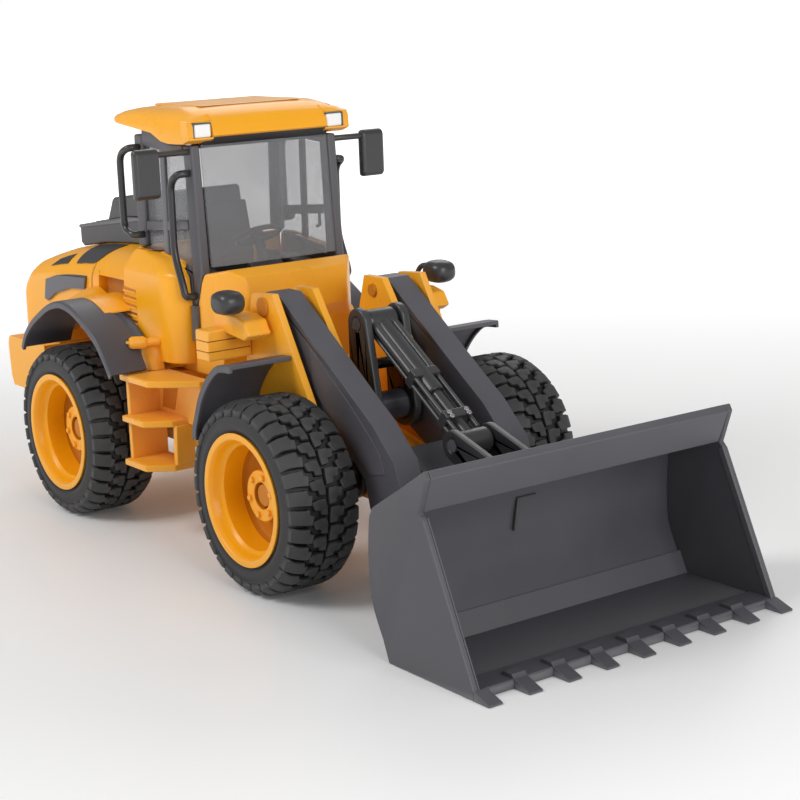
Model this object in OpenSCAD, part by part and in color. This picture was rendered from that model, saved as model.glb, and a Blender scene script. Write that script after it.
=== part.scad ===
// Toy articulated front loader: +X forward to the bucket, +Y to the left, +Z up.
// The origin is on the ground, under the middle of the whole toy.
// Side profiles are drawn from the front axle line, which place() moves to its spot.

/* [Overall] */
// Distance between the front and rear axles
wheelbase = 155.2; // [145:1:170]
// Front axle to the tips of the bucket teeth
front_overhang = 151; // [150:1:156]
// Rear axle to the back face of the counterweight
rear_overhang = 88.8; // [86:1:96]

/* [Wheels] */
// Outer radius of a tyre
tyre_r = 38; // [36:0.5:40]
// Width of a tyre
tyre_w = 31; // [26:0.5:32]
// Radius of the rim, where the tyre seats
rim_seat_r = 25; // [22:0.5:27]
// Distance from the centre plane to the outer face of a rim
rim_face_y = 69.5; // [69:0.5:72]
// Radius of an axle shaft
axle_r = 3; // [2:0.1:4]
// Wheel bolts moulded on each rim
rim_bolts = 6; // [4:1:8]

/* [Joints] */
// Radial running clearance of a shaft in its hole
run_gap = 0.05; // [0.03:0.01:0.1]
// Gap between pieces that move past each other
side_gap = 0.3; // [0.2:0.05:0.4]
// Articulation pin, behind the front axle
steer_x = -77.6; // [-80:0.2:-76]
// Radius of the articulation pin
steer_pin_r = 4; // [3:0.1:5]
// Boom pivot height
boom_pivot_z = 105.5; // [104:0.5:107]
// Radius of the boom, bucket and linkage pins
pin_r = 2.5; // [2:0.1:2.8]

/* [Bucket] */
// Half of the bucket's width
bucket_half_w = 71; // [66:0.5:71]
// Thickness of a bucket side plate
bucket_side_t = 2.4; // [1.6:0.1:3]
// Number of teeth
teeth = 9; // [5:1:9]
// Width of a tooth
tooth_w = 6; // [4:0.5:8]

/* [Boom] */
// Inner face of a boom arm, from the centre plane
arm_y = 21; // [20:0.5:21]
// Thickness of a boom arm
arm_t = 11; // [10:0.5:12]
// Radius of the boom cross tube, which the bell crank turns on
cross_tube_r = 6; // [5:0.1:6.5]

/* [Cab and body] */
// Half of the engine hood's width
hood_half_w = 42; // [40:0.5:42]
// Half of the cab roof's width
roof_half_w = 40; // [38:0.5:44]
// Height of the top of the cab roof
roof_top_z = 181; // [179:0.5:186]
// Diameter of a handrail
rail_d = 3.4; // [2.4:0.1:4]
// Thickness of the cab glass
glass_t = 1.5; // [1:0.1:2]

/* [Hidden] */
$fn = 64;
total_length = front_overhang + wheelbase + rear_overhang;
front_axle_x = total_length / 2 - front_overhang;
rear_axle = -wheelbase;
tail = -wheelbase - rear_overhang;
axle_z = tyre_r;

// Wheels: the tyre sits flush with the rim, the hub turns on the shaft.
tyre_outer_y = rim_face_y - 0.3;
tyre_inner_y = tyre_outer_y - tyre_w;
hub_inner_y = tyre_inner_y + 0.5;
hub_outer_y = rim_face_y - 9.5;
hub_r = 10.2;
cap_r = 4.6;
cap_t = 2;
bead_gap = 0.1;

// Chassis half widths
front_half_w = 15.5;
rear_half_w = 22;
axle_tube_r = 6;

// Boom linkage: pivot points in the side view
boom_pivot = [-27, boom_pivot_z];
bucket_pin = [59, 25];
crank_pivot = [1, 64];
crank_top = [-2, boom_pivot_z - 7.5];
link_end = bucket_pin + crank_top - crank_pivot;
lift_base = [-49.1, 64];
lift_end = [-4.1, 67.1];
arm_mid_y = arm_y + arm_t / 2;
arm_out_y = arm_y + arm_t;
crank_y = 7.3;
crank_t = 3.5;
web_y = crank_y + crank_t + 0.5;
web_t = 2.5;
link_half_w = crank_y - side_gap - 0.2;

// Towers that hold the boom
tower_in_y = front_half_w;
tower_t = 3;
tower_out_y = arm_out_y + 2.5;
tower_face_y = tower_out_y + tower_t;

// Lift cylinders
lift_r = 4.2;
lift_rod_r = 2;
lift_pin_r = 1.8;
lift_eye_r = 4.8;
lift_play = 1.15;
lift_vec = lift_end - lift_base;
lift_len = norm(lift_vec);
lift_angle = atan2(lift_vec[1], lift_vec[0]);
lift_barrel_end = 37;

// Body
hood_bottom = 2 * tyre_r + 2;
skirt_z = hood_bottom - 10;
cab_floor = 70;
cab_half_w = 36;
fender_out_y = rim_face_y + 0.5;
fender_t = 2.2;
front_fender_out_y = rim_face_y - 3.5;
ladder_in_y = 42;
ladder_out_y = 62;
roof_low = 166;
rail_y = 39.6;

yellow = [0.95, 0.62, 0.12];
dark = [0.33, 0.33, 0.36];
black = [0.13, 0.13, 0.14];

// Moves a profile drawn from the front axle line to its place on the toy.
module place() {
    translate([front_axle_x, 0, 0]) children();
}

module on_right() {
    mirror([0, 1, 0]) children();
}

module both_sides() {
    children();
    mirror([0, 1, 0]) children();
}

// A side profile, [x, z] points, as a plate from y = y0 to y = y1.
module side_plate(points, y0, y1) {
    translate([0, y1, 0]) rotate([90, 0, 0]) linear_extrude(y1 - y0) polygon(points);
}

// A round bar or hole along Y at the side-view point p.
module cross_bar(p, r, y0, y1) {
    translate([p[0], y1, p[1]]) rotate([90, 0, 0]) cylinder(r = r, h = y1 - y0);
}

function arc(p, r, from, to, steps) =
    [for (i = [0 : steps]) p + r * [cos(from + (to - from) * i / steps), sin(from + (to - from) * i / steps)]];

// Points of a band of the given thickness along a path, outer side first.
function path_normal(path, i) =
    let (a = path[max(i - 1, 0)], b = path[min(i + 1, len(path) - 1)], d = (b - a) / norm(b - a))
    [-d[1], d[0]];
function band(path, t) = concat(path,
    [for (i = [len(path) - 1 : -1 : 0]) path[i] - t * path_normal(path, i)]);

// ---------- Wheels ----------

module rim() {
    flange_r = rim_seat_r + 1.1;
    dish_r = rim_seat_r - 3.3;
    difference() {
        rotate([-90, 0, 0]) rotate_extrude() polygon([
            [axle_r + run_gap, hub_inner_y], [hub_r - 1, hub_inner_y], [hub_r, hub_outer_y - 8],
            [dish_r - 2, hub_outer_y - 6], [dish_r - 1.4, hub_inner_y + 1],
            [rim_seat_r, tyre_inner_y + 0.3], [rim_seat_r, tyre_outer_y - 1.2],
            [flange_r, tyre_outer_y - 0.2], [flange_r, rim_face_y], [rim_seat_r - 1.6, rim_face_y],
            [dish_r, rim_face_y - 5], [dish_r - 1, hub_outer_y - 3], [hub_r + 1, hub_outer_y - 2.5],
            [hub_r, hub_outer_y], [axle_r + run_gap, hub_outer_y]]);
        for (i = [0 : rim_bolts - 1])
            rotate([0, i * 360 / rim_bolts, 0])
                translate([hub_r - 3.2, hub_outer_y + 1, 0])
                    rotate([90, 0, 0]) cylinder(r = 1, h = 2.6);
    }
}

module tyre() {
    shoulder = 5;
    seat = rim_seat_r + bead_gap;
    flank = tyre_r - shoulder;
    rotate([-90, 0, 0]) rotate_extrude($fn = 96) polygon(concat(
        [[seat, tyre_inner_y], [flank - 3, tyre_inner_y]],
        [for (a = [0 : 15 : 90]) [flank + shoulder * sin(a), tyre_inner_y + shoulder * (1 - cos(a))]],
        [for (a = [90 : -15 : 0]) [flank + shoulder * sin(a), tyre_outer_y - shoulder * (1 - cos(a))]],
        [[flank - 3, tyre_outer_y], [rim_seat_r + 1.3, tyre_outer_y], [rim_seat_r + 1.3, tyre_outer_y - 0.6],
            [seat, tyre_outer_y - 1.7]]));
}

module at_wheel(x) {
    place() translate([x, 0, axle_z]) children();
}

module axle_shaft(x) {
    color("silver") at_wheel(x) {
        cross_bar([0, 0], axle_r, -hub_outer_y - side_gap, hub_outer_y + side_gap);
        both_sides() cross_bar([0, 0], cap_r, hub_outer_y + side_gap, hub_outer_y + side_gap + cap_t);
    }
}

module axle_housing(x, y0) {
    color(black) at_wheel(x) both_sides() difference() {
        union() {
            cross_bar([0, 0], axle_tube_r, y0, hub_inner_y - side_gap);
            cross_bar([0, 0], axle_tube_r + 3, y0, y0 + 3);
        }
        cross_bar([0, 0], axle_r + run_gap, y0 - 1, hub_inner_y + 1);
    }
}

// ---------- Rear chassis ----------

module rear_frame() {
    ear_r = 10;
    color(yellow) place() difference() {
        union() {
            side_plate([[tail + 41, 30], [-96, 30], [-96, cab_floor], [-131, cab_floor],
                [-131, hood_bottom], [tail + 41, hood_bottom]], -rear_half_w, rear_half_w);
            for (z = [30, 57]) {
                translate([steer_x, 0, z]) cylinder(r = ear_r, h = 6);
                translate([-97, -ear_r, z]) cube([97 + steer_x, 2 * ear_r, 6]);
            }
            both_sides() translate([-104, rear_half_w - 0.5, 52]) cube([10, ladder_in_y - rear_half_w + 0.5, 18]);
        }
        translate([steer_x, 0, 0]) cylinder(r = steer_pin_r + bead_gap, h = 100);
        translate([rear_axle, 0, axle_z]) cross_bar([0, 0], axle_r + run_gap, -50, 50);
    }
}

module steering_pin() {
    color("silver") place() translate([steer_x, 0, 29]) {
        cylinder(r = steer_pin_r, h = 35);
        translate([0, 0, 34.3]) cylinder(r = steer_pin_r + 2, h = 1.5);
    }
}

module counterweight() {
    half_w = 50;
    color(yellow) place() side_plate([[tail + 41, 44], [tail + 3, 44], [tail + 1, 48], [tail, 64],
        [tail + 2, skirt_z], [tail + 41, skirt_z]], -half_w, half_w);
}

module engine_hood() {
    top_in = 26;
    side_view = [[tail + 4, skirt_z], [tail + 3, 88], [tail + 7, 96], [tail + 17, 104], [tail + 40, 112],
        [tail + 60, 115.5], [-150, 118], [-131, 119], [-131, hood_bottom], [tail + 41, hood_bottom],
        [tail + 41, skirt_z]];
    color(yellow) place() difference() {
        intersection() {
            side_plate(side_view, -hood_half_w, hood_half_w);
            translate([-300, 0, 0]) rotate([90, 0, 90]) linear_extrude(200) polygon([
                [-hood_half_w, 0], [hood_half_w, 0], [hood_half_w, 103], [hood_half_w - 3.5, 109], [top_in, 120],
                [-top_in, 120], [-hood_half_w + 3.5, 109], [-hood_half_w, 103]]);
        }
        both_sides() translate([-159, hood_half_w - 4.5, 80]) cube([40, 10, 25]);
    }
}

module hood_grilles() {
    color(dark) place() both_sides() side_plate([[-213.5, 88.5], [-211, 98], [-197, 101], [-170.5, 102.5],
        [-172, 97.3], [-186, 96.3], [-202, 92.2], [-210.5, 87.8]], hood_half_w, hood_half_w + 0.8);
}

module air_intake() {
    half_w = 25;
    color(dark) place() translate([tail, 0, 0]) side_plate([[37, 113.5], [37, 121.8], [65, 126.1], [71.3, 137],
        [94, 140], [96, 129.7], [101, 130], [101, 118.38], [94, 118], [60, 115.5], [40, 112]], -half_w, half_w);
}

module rear_fender() {
    path = [[-29.2, 73.7], [-24.8, 80.5], [-17.4, 86.6], [-8.8, 91.5], [-0.8, 95.4], [7.2, 97.8], [14.4, 98.5],
        [23.7, 96.9], [35.2, 92], [45.2, 85.8], [52.2, 78.5], [56.6, 72.4]];
    color(dark) place() translate([rear_axle, 0, 0]) {
        side_plate(band(path, fender_t), 45.5, fender_out_y);
        side_plate([[14.4, 96], [23.7, 94.5], [37.2, 88.5], [37.2, 80], [14.2, 80]], 45.5, 48);
    }
}

module rear_fender_left() {
    rear_fender();
}

module rear_fender_right() {
    on_right() rear_fender();
}

module ladder() {
    x0 = -106;
    wall = 3;
    steps_z = [31, 50, 68];
    top_x = -66;
    low_x = -80;
    step_plan = [[x0, ladder_in_y], [low_x, ladder_in_y], [low_x, 52], [low_x - 8, ladder_out_y], [x0, ladder_out_y]];
    top_plan = [[x0, ladder_in_y], [top_x, ladder_in_y], [top_x, 46], [top_x - 16, ladder_out_y], [x0, ladder_out_y]];
    color(yellow) place() {
        for (z = [steps_z[0], steps_z[1]])
            translate([0, 0, z]) linear_extrude(wall) polygon(step_plan);
        translate([0, 0, steps_z[2]]) linear_extrude(wall) polygon(top_plan);
        translate([x0, ladder_in_y, steps_z[0]]) cube([wall, ladder_out_y - ladder_in_y - 3, 40]);
        translate([low_x - wall, ladder_in_y, steps_z[0]]) cube([wall, 9, 21]);
        translate([x0, ladder_in_y, steps_z[1]]) cube([top_x - 2 - x0, wall, 21]);
    }
}

module ladder_left() {
    ladder();
}

module ladder_right() {
    on_right() ladder();
}

module side_tank() {
    out_y = 45;
    color(yellow) place() intersection() {
        side_plate([[-130.7, 80.5], [-129.5, 104], [-127.2, 119], [-109.3, 119.8], [-92, 116.5], [-86.5, 111],
            [-85, 100], [-85, 75], [-88, 71.3], [-120, 71.3]], cab_half_w, out_y);
        linear_extrude(200) polygon([
            [-150, cab_half_w], [-150, out_y], [-99, out_y], [-92, out_y - 1.5], [-87.5, out_y - 4],
            [-85, out_y - 7], [-85, cab_half_w]]);
    }
}

module side_tank_left() {
    side_tank();
}

module side_tank_right() {
    on_right() side_tank();
}

// ---------- Cab ----------

module cab_base() {
    color(yellow) place() intersection() {
        side_plate([[-130.5, cab_floor], [-130.5, 120], [-127, 120], [-127, 98], [-82, 98], [-76, 113],
            [-66, 115], [-60, 112], [-58, 104], [-60, 96], [-66, 90], [-70, cab_floor]], -38, 38);
        linear_extrude(200) polygon([[-140, -cab_half_w], [-77, -cab_half_w], [-66, -31], [-58, -24],
                [-58, 24], [-66, 31], [-77, cab_half_w], [-140, cab_half_w]]);
    }
}

module cab_pillars() {
    c_pillar = [[-130, 120.3], [-123, 120.3], [-121, roof_low + 3], [-128, roof_low + 3]];
    color(dark) place() both_sides() {
        side_plate([[-84, 98.3], [-82.2, 98.3], [-76.5, 113.3], [-79.5, roof_low - 0.2], [-86.5, roof_low - 0.2],
            [-84.5, 113]], 31.5, cab_half_w);
        side_plate(c_pillar, 31.5, cab_half_w);
    }
}

module cab_roof() {
    color(yellow) place() difference() {
        intersection() {
            side_plate([[-141, 174], [-140, 178], [-130, roof_top_z], [-92, roof_top_z], [-79, roof_top_z - 2],
                [-74.5, 174], [-73.5, 169.5], [-80, roof_low], [-97, roof_low], [-105, 170], [-122, 171.5]],
                -roof_half_w, roof_half_w);
            translate([-300, 0, 0]) rotate([90, 0, 90]) linear_extrude(300) polygon([
                [-roof_half_w, 100], [roof_half_w, 100], [roof_half_w, 176], [roof_half_w - 6, roof_top_z],
                [6 - roof_half_w, roof_top_z], [-roof_half_w, 176]]);
        }
        both_sides() translate([-79.3, 27.9, 160]) cube([20, 9, 16]);
    }
}

module roof_lights() {
    color("white") place() both_sides() translate([-79, 28.2, 168]) cube([5.4, 8.4, 7.7]);
}

module windscreen() {
    color([0.8, 0.85, 0.88, 0.5]) place()
        side_plate([[-76, 115.2], [-76 + glass_t, 115.2], [-80 + glass_t, roof_low - 0.2], [-80, roof_low - 0.2]],
            -31.2, 31.2);
}

module cab_glass() {
    color([0.8, 0.85, 0.88, 0.5]) place() {
        side_plate([[-129, 120.3], [-129 + glass_t, 120.3], [-126 + glass_t, roof_low + 5], [-126, roof_low + 5]],
            -31.2, 31.2);
        both_sides() side_plate([[-122.5, 98.3], [-84.3, 98.3], [-84.8, 113], [-86.8, roof_low - 0.2],
            [-121, roof_low - 0.2]], 33, 33 + glass_t);
    }
}

module seat() {
    color(dark) place() {
        translate([-112, -11, 98]) cube([20, 22, 12]);
        side_plate([[-116, 98], [-111, 98], [-112, 112], [-115, 137], [-122, 137]], -11, 11);
        side_plate([[-121.5, 137], [-115.5, 137], [-116.4, 144], [-120.5, 144]], -9, 9);
    }
}

// Places its children on the steering wheel's hub, with Z along the column.
module at_steering_hub() {
    translate([-89.6, 0, 124.5]) rotate([0, -25, 0]) children();
}

module steering_column() {
    color(black) place() {
        at_steering_hub() translate([0, 0, -13]) cylinder(r = 2.2, h = 12.1);
        side_plate([[-91, 98.2], [-82.8, 98.2], [-81, 106], [-80.5, 112], [-85, 115], [-89, 110]], -5, 5);
    }
}

module steering_wheel() {
    color(black) place() at_steering_hub() {
        rotate_extrude() translate([10, 0]) circle(r = 1.2, $fn = 24);
        translate([0, 0, -0.6]) cylinder(r = 3, h = 1.8);
        for (a = [0, 120, 240]) rotate([0, 0, a]) translate([0, -1, -0.5]) cube([9.6, 2, 1]);
    }
}

// One handrail: an upright bar with a leg and a foot at each end, open towards the pillar. Its lower end
// steps forward by knee.
module rail(x, z0, z1, foot_x, knee) {
    h = rail_d;
    inner = x + h;
    color(black) place() {
        side_plate([[x + knee, z0], [foot_x, z0], [foot_x, z0 + h], [inner + knee, z0 + h], [inner + knee, z0 + 7],
            [inner, z0 + 19], [inner, z1 - h], [foot_x, z1 - h], [foot_x, z1], [x, z1], [x, z0 + 17.5],
            [x + knee, z0 + 6]], rail_y, rail_y + h);
        for (z = [z0, z1 - h]) translate([foot_x - h, cab_half_w, z]) cube([h, rail_y - cab_half_w + 0.1, h]);
    }
}

module handrails() {
    both_sides() {
        rail(-90.4, 102, 156, -80.4, 6);
        rail(-133.2, 124, 165, -121.8, 0);
    }
}

module mirrors() {
    arm_z = 163;
    color(black) place() both_sides() {
        translate([-82, cab_half_w, arm_z]) rotate([-90, 0, 0]) cylinder(r = 1.6, h = 18);
        translate([-84, 50, 145]) cube([4.5, 12, 21]);
    }
}

// ---------- Front chassis ----------

module front_frame() {
    tongue_r = 9.5;
    color(yellow) place() difference() {
        union() {
            translate([steer_x, 0, 36.3]) cylinder(r = tongue_r, h = 20.4);
            translate([steer_x, -tongue_r, 36.3]) cube([-steer_x - 59, 2 * tongue_r, 20.4]);
            side_plate([[-60, 30], [10, 30], [14, 36], [8, 46], [-12, 51], [-30, 54], [-40, 66], [-44, 66],
                [-60, 57]], -front_half_w, front_half_w);
        }
        translate([steer_x, 0, 0]) cylinder(r = steer_pin_r + run_gap, h = 100);
        translate([0, 0, axle_z]) cross_bar([0, 0], axle_r + run_gap, -50, 50);
    }
}

// Two plates that hold one boom arm between them, with a wall behind the arm.
module boom_tower() {
    crown = boom_pivot_z + 5.5;
    around_tube = [[6, 55.5], [0, 56.3], [-4.6, 58.5], [-6.8, 63], [-6, 68], [-3, 73]];
    inner = concat([[-50, 46], [12, 46], [12, 51]], around_tube, [[-1.6, 83.6], [-20.5, crown],
        [-33.2, crown], [-37, 98.7], [-42, 80], [-54, 70], [-54, 58]]);
    outer = [[-50, 50], [8, 50], [8, 62], [1.1, 74], [-20.4, crown], [-35.3, crown - 1], [-41, 90], [-42, 76],
        [-54, 70], [-54, 58]];
    color(yellow) place() difference() {
        union() {
            side_plate(inner, tower_in_y, tower_in_y + tower_t);
            side_plate(outer, tower_out_y, tower_face_y);
            side_plate([[-42, 76], [-39.6, 76], [-38.6, 92], [-41, 92]], tower_in_y + 1, tower_out_y + 1);
        }
        cross_bar(boom_pivot, pin_r + bead_gap, 0, 50);
        cross_bar(lift_base, lift_pin_r + bead_gap, 0, 50);
        cross_bar([0, axle_z], axle_tube_r + 3.4, 0, 50);
    }
}

module boom_tower_left() {
    boom_tower();
}

module boom_tower_right() {
    on_right() boom_tower();
}

module boom_pivot_pins() {
    color(yellow) place() both_sides() {
        cross_bar(boom_pivot, pin_r, tower_in_y - 1, tower_face_y + 1);
        cross_bar(boom_pivot, pin_r + 1.2, tower_face_y + 0.05, tower_face_y + 1);
    }
}

module lift_base_pins() {
    color(dark) place() both_sides() cross_bar(lift_base, lift_pin_r, tower_in_y + 0.2, tower_face_y);
}

module front_fender() {
    path = [[-40, 54.5], [-39.3, 59.5], [-37, 65], [-33.8, 72], [-29.5, 78], [-24, 83.5], [-17.5, 87.5], [-8, 88.5]];
    color(dark) place() side_plate(band(path, -fender_t), tower_face_y, front_fender_out_y);
}

module front_fender_left() {
    front_fender();
}

module front_fender_right() {
    on_right() front_fender();
}

module headlight_brackets() {
    color(yellow) place() both_sides() difference() {
        union() {
            side_plate([[-46, 96], [-24, 93.5], [-19.5, 96], [-23, 101.5], [-30, 103.2], [-46, 103.2]], tower_face_y, 49.5);
            side_plate([[-47, 84.5], [-37, 84.5], [-37, 97], [-47, 97]], tower_face_y, 58);
        }
        cross_bar(boom_pivot, pin_r + 1.6, tower_face_y - 1, tower_face_y + 1.3);
    }
}

module headlights() {
    bracket_top = 103.2;
    color(black) place() both_sides() {
        translate([-37, 46.5, bracket_top + 0.8]) cube([14, 11, 9.2]);
        translate([-37, 46.5, bracket_top]) cube([6, 3, 1]);
    }
}

// ---------- Boom ----------

module boom_arm() {
    toe = arc(bucket_pin, 7.5, 40, -110, 8);
    lug = arc(crank_pivot, 9, 300, 215, 4);
    heel = [[-34.8, 100], [-36, 105.5], [-33.5, 110], [-24.7, 110]];
    outline = concat(heel, [[22.5, 76.7], [36.2, 67.4], [44, 60], [49.4, 55], [52.6, 46.7]], toe,
        [[37, 29], [32.7, 34.5], [30.1, 45], [20.8, 53], [8, 62.6]], [[-5.1, 72.4]]);
    lug_outline = concat([[14, 62], [12, 57.9]], lug, [[-9.8, 64], [-9.8, 76.5], [10, 76]]);
    color(dark) place() difference() {
        union() {
            side_plate(outline, arm_y, arm_out_y);
            side_plate(lug_outline, arm_y, arm_y + 2.5);
            side_plate([[8, 62.6], [1, 61], [-7, 61.5], [-9.8, 66], [-9.8, 76.5], [8, 76]], arm_out_y - 2.5, arm_out_y);
        }
        cross_bar(boom_pivot, pin_r + run_gap, 0, 50);
        cross_bar(bucket_pin, pin_r + run_gap, 0, 50);
        cross_bar(lift_end, lift_pin_r + bead_gap, 0, 50);
        cross_bar(lift_end, lift_eye_r + 1.4, arm_y + 2.5, arm_out_y - 2.5);
    }
}

module boom_arm_left() {
    boom_arm();
}

module boom_arm_right() {
    on_right() boom_arm();
}

module lift_end_pins() {
    color(dark) place() both_sides() cross_bar(lift_end, lift_pin_r, arm_y + 0.3, arm_out_y);
}

// The tube the bell crank turns on, with the two ribs down to the lower tube.
module boom_cross_tube() {
    lower_tube = [44, 38];
    rib = concat(arc(crank_pivot, 9, 60, 240, 8), arc(lower_tube, 6.5, 240, 420, 8));
    color(dark) place() {
        cross_bar(crank_pivot, cross_tube_r, -arm_y, arm_y);
        cross_bar(lower_tube, 4, -arm_y, arm_y);
        both_sides() side_plate(rib, web_y, web_y + web_t);
    }
}

module bell_crank() {
    head = arc(crank_top, 6.2, 190, 0, 10);
    foot = arc(crank_pivot, 9.5, 0, -170, 10);
    color(dark) place() difference() {
        union() {
            both_sides() side_plate(concat(head, foot), crank_y, crank_y + crank_t);
            cross_bar([-5.2, 80], 2.2, -crank_y - 0.5, crank_y + 0.5);
        }
        cross_bar(crank_pivot, cross_tube_r + run_gap, -20, 20);
        cross_bar(crank_top, pin_r + bead_gap, -20, 20);
    }
}

module crank_pin() {
    color(black) place() cross_bar(crank_top, pin_r, -crank_y - crank_t, crank_y + crank_t);
}

module tilt_link() {
    vec = link_end - crank_top;
    length = norm(vec);
    angle = atan2(vec[1], vec[0]);
    eye_r = 5;
    rail_h = 6;
    color(black) place() difference() {
        union() {
            cross_bar(crank_top, eye_r, -link_half_w, link_half_w);
            cross_bar(link_end, eye_r, -link_half_w, link_half_w);
            translate([crank_top[0], 0, crank_top[1]]) rotate([0, -angle, 0]) {
                both_sides() translate([2, link_half_w - 2.4, -rail_h / 2]) cube([length - 4, 2, rail_h]);
                translate([3, 0, 0]) rotate([0, 90, 0]) cylinder(r = 3.4, h = length - 6);
            }
        }
        cross_bar(crank_top, pin_r + run_gap, -20, 20);
        cross_bar(link_end, pin_r + run_gap, -20, 20);
    }
}

// ---------- Lift cylinders ----------

module at_lift() {
    place() translate([lift_base[0], arm_mid_y, lift_base[1]]) rotate([0, -lift_angle, 0]) children();
}

module lift_barrel() {
    eye_w = 5.4;
    color(black) at_lift() difference() {
        union() {
            cross_bar([0, 0], lift_eye_r, -eye_w / 2, eye_w / 2);
            translate([3.5, 0, 0]) rotate([0, 90, 0]) cylinder(r = lift_r, h = lift_barrel_end - 3.5);
        }
        cross_bar([0, 0], lift_pin_r + run_gap, -10, 10);
        translate([5.4, 0, 0]) rotate([0, 90, 0]) cylinder(r = lift_rod_r + run_gap, h = 50);
    }
}

module lift_rod() {
    eye_w = 5.4;
    color("silver") at_lift() difference() {
        union() {
            translate([6, 0, 0]) rotate([0, 90, 0]) cylinder(r = lift_rod_r, h = lift_len - 9);
            translate([lift_len, 0, 0]) cross_bar([0, 0], lift_eye_r, -eye_w / 2, eye_w / 2);
        }
        translate([lift_len, 0, 0]) cross_bar([0, 0], lift_pin_r + lift_play, -10, 10);
    }
}

module lift_barrel_left() {
    lift_barrel();
}

module lift_barrel_right() {
    on_right() lift_barrel();
}

module lift_rod_left() {
    lift_rod();
}

module lift_rod_right() {
    on_right() lift_rod();
}

// ---------- Bucket ----------

bucket_outer = [[143, 0], [96.3, 0], [93.2, 7.8], [87.3, 20.6], [86.3, 34.9], [87.5, 49.5], [90, 54.5],
    [106.7, 64.5], [119.5, 72.5]];
bucket_inner = [[121, 70], [116, 57.5], [107, 61.8], [91.8, 52.6], [89.9, 48.6], [88.8, 34.9], [89.7, 21.4],
    [95.2, 9.2], [98.2, 2.9], [143, 2.9]];
shell_half_w = bucket_half_w - bucket_side_t;

module bucket_shell() {
    color(dark) place() side_plate(concat(bucket_outer, bucket_inner), -shell_half_w, shell_half_w);
}

module bucket_sides() {
    color(dark) place() both_sides()
        side_plate(concat(bucket_outer, [[121, 70], [116.5, 57.5]], [[118.5, 55.5], [143, 2.9]]),
            shell_half_w, bucket_half_w);
}

module bucket_teeth() {
    pitch = (2 * bucket_half_w - tooth_w) / (teeth - 1);
    color(dark) place() difference() {
        for (i = [0 : teeth - 1])
            side_plate([[143, 0], [front_overhang, 0], [front_overhang, 0.9], [143, 3.6], [143, 5], [137, 5],
                [135.5, 2.9], [143, 2.9]], -bucket_half_w + i * pitch, -bucket_half_w + i * pitch + tooth_w);
        both_sides() translate([130, shell_half_w, -1]) cube([13, bucket_side_t + 1, 10]);
    }
}

module bucket_brackets() {
    ear_t = 3;
    arm_gap = side_gap;
    ear = concat(arc(bucket_pin, 7, 90, 270, 8), [[86.3, 12], [87.2, 21], [86.2, 34.9], [87.2, 47]]);
    hook = concat(arc(link_end, 6, 80, 250, 8), [[86.2, 38], [87.4, 49.6], [89.8, 54.6]]);
    color(dark) place() both_sides() difference() {
        union() {
            side_plate(ear, arm_y - arm_gap - ear_t, arm_y - arm_gap);
            side_plate(ear, arm_out_y + arm_gap, arm_out_y + arm_gap + ear_t);
            side_plate(hook, link_half_w + arm_gap, link_half_w + arm_gap + ear_t);
        }
        cross_bar(bucket_pin, pin_r + bead_gap, 0, 50);
        cross_bar(link_end, pin_r + bead_gap, 0, 50);
    }
}

module bucket_pins() {
    color(black) place() {
        both_sides() cross_bar(bucket_pin, pin_r, arm_y - side_gap - 3, arm_out_y + side_gap + 3);
        cross_bar(link_end, pin_r, -link_half_w - side_gap - 3, link_half_w + side_gap + 3);
    }
}

rear_frame();
counterweight();
engine_hood();
hood_grilles();
air_intake();
rear_fender_right();
rear_fender_left();
ladder_right();
ladder_left();
side_tank_right();
side_tank_left();
cab_base();
cab_pillars();
cab_roof();
roof_lights();
windscreen();
cab_glass();
seat();
steering_column();
steering_wheel();
handrails();
mirrors();
axle_housing(rear_axle, rear_half_w);  // rear_axle_housing
axle_shaft(rear_axle);  // rear_axle_shaft
steering_pin();
front_frame();
boom_tower_right();
boom_tower_left();
front_fender_right();
front_fender_left();
headlight_brackets();
headlights();
axle_housing(0, front_half_w);  // front_axle_housing
axle_shaft(0);  // front_axle_shaft
boom_pivot_pins();
lift_base_pins();
boom_arm_right();
boom_arm_left();
boom_cross_tube();
lift_end_pins();
bell_crank();
crank_pin();
tilt_link();
lift_barrel_right();
lift_barrel_left();
lift_rod_right();
lift_rod_left();
bucket_shell();
bucket_sides();
bucket_teeth();
bucket_brackets();
bucket_pins();
color(yellow) on_right() at_wheel(0) rim();  // rim_front_right
color(yellow) at_wheel(0) rim();  // rim_front_left
color(yellow) on_right() at_wheel(rear_axle) rim();  // rim_rear_right
color(yellow) at_wheel(rear_axle) rim();  // rim_rear_left
color(black) on_right() at_wheel(0) tyre();  // tyre_front_right
color(black) at_wheel(0) tyre();  // tyre_front_left
color(black) on_right() at_wheel(rear_axle) tyre();  // tyre_rear_right
color(black) at_wheel(rear_axle) tyre();  // tyre_rear_left
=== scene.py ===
"""Toy front loader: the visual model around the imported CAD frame.

Side-view outlines are [x, z] points in millimetres, with x counted forward from the front axle.
"""
import math

import bmesh
import bpy
from mathutils import Matrix, Vector


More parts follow.
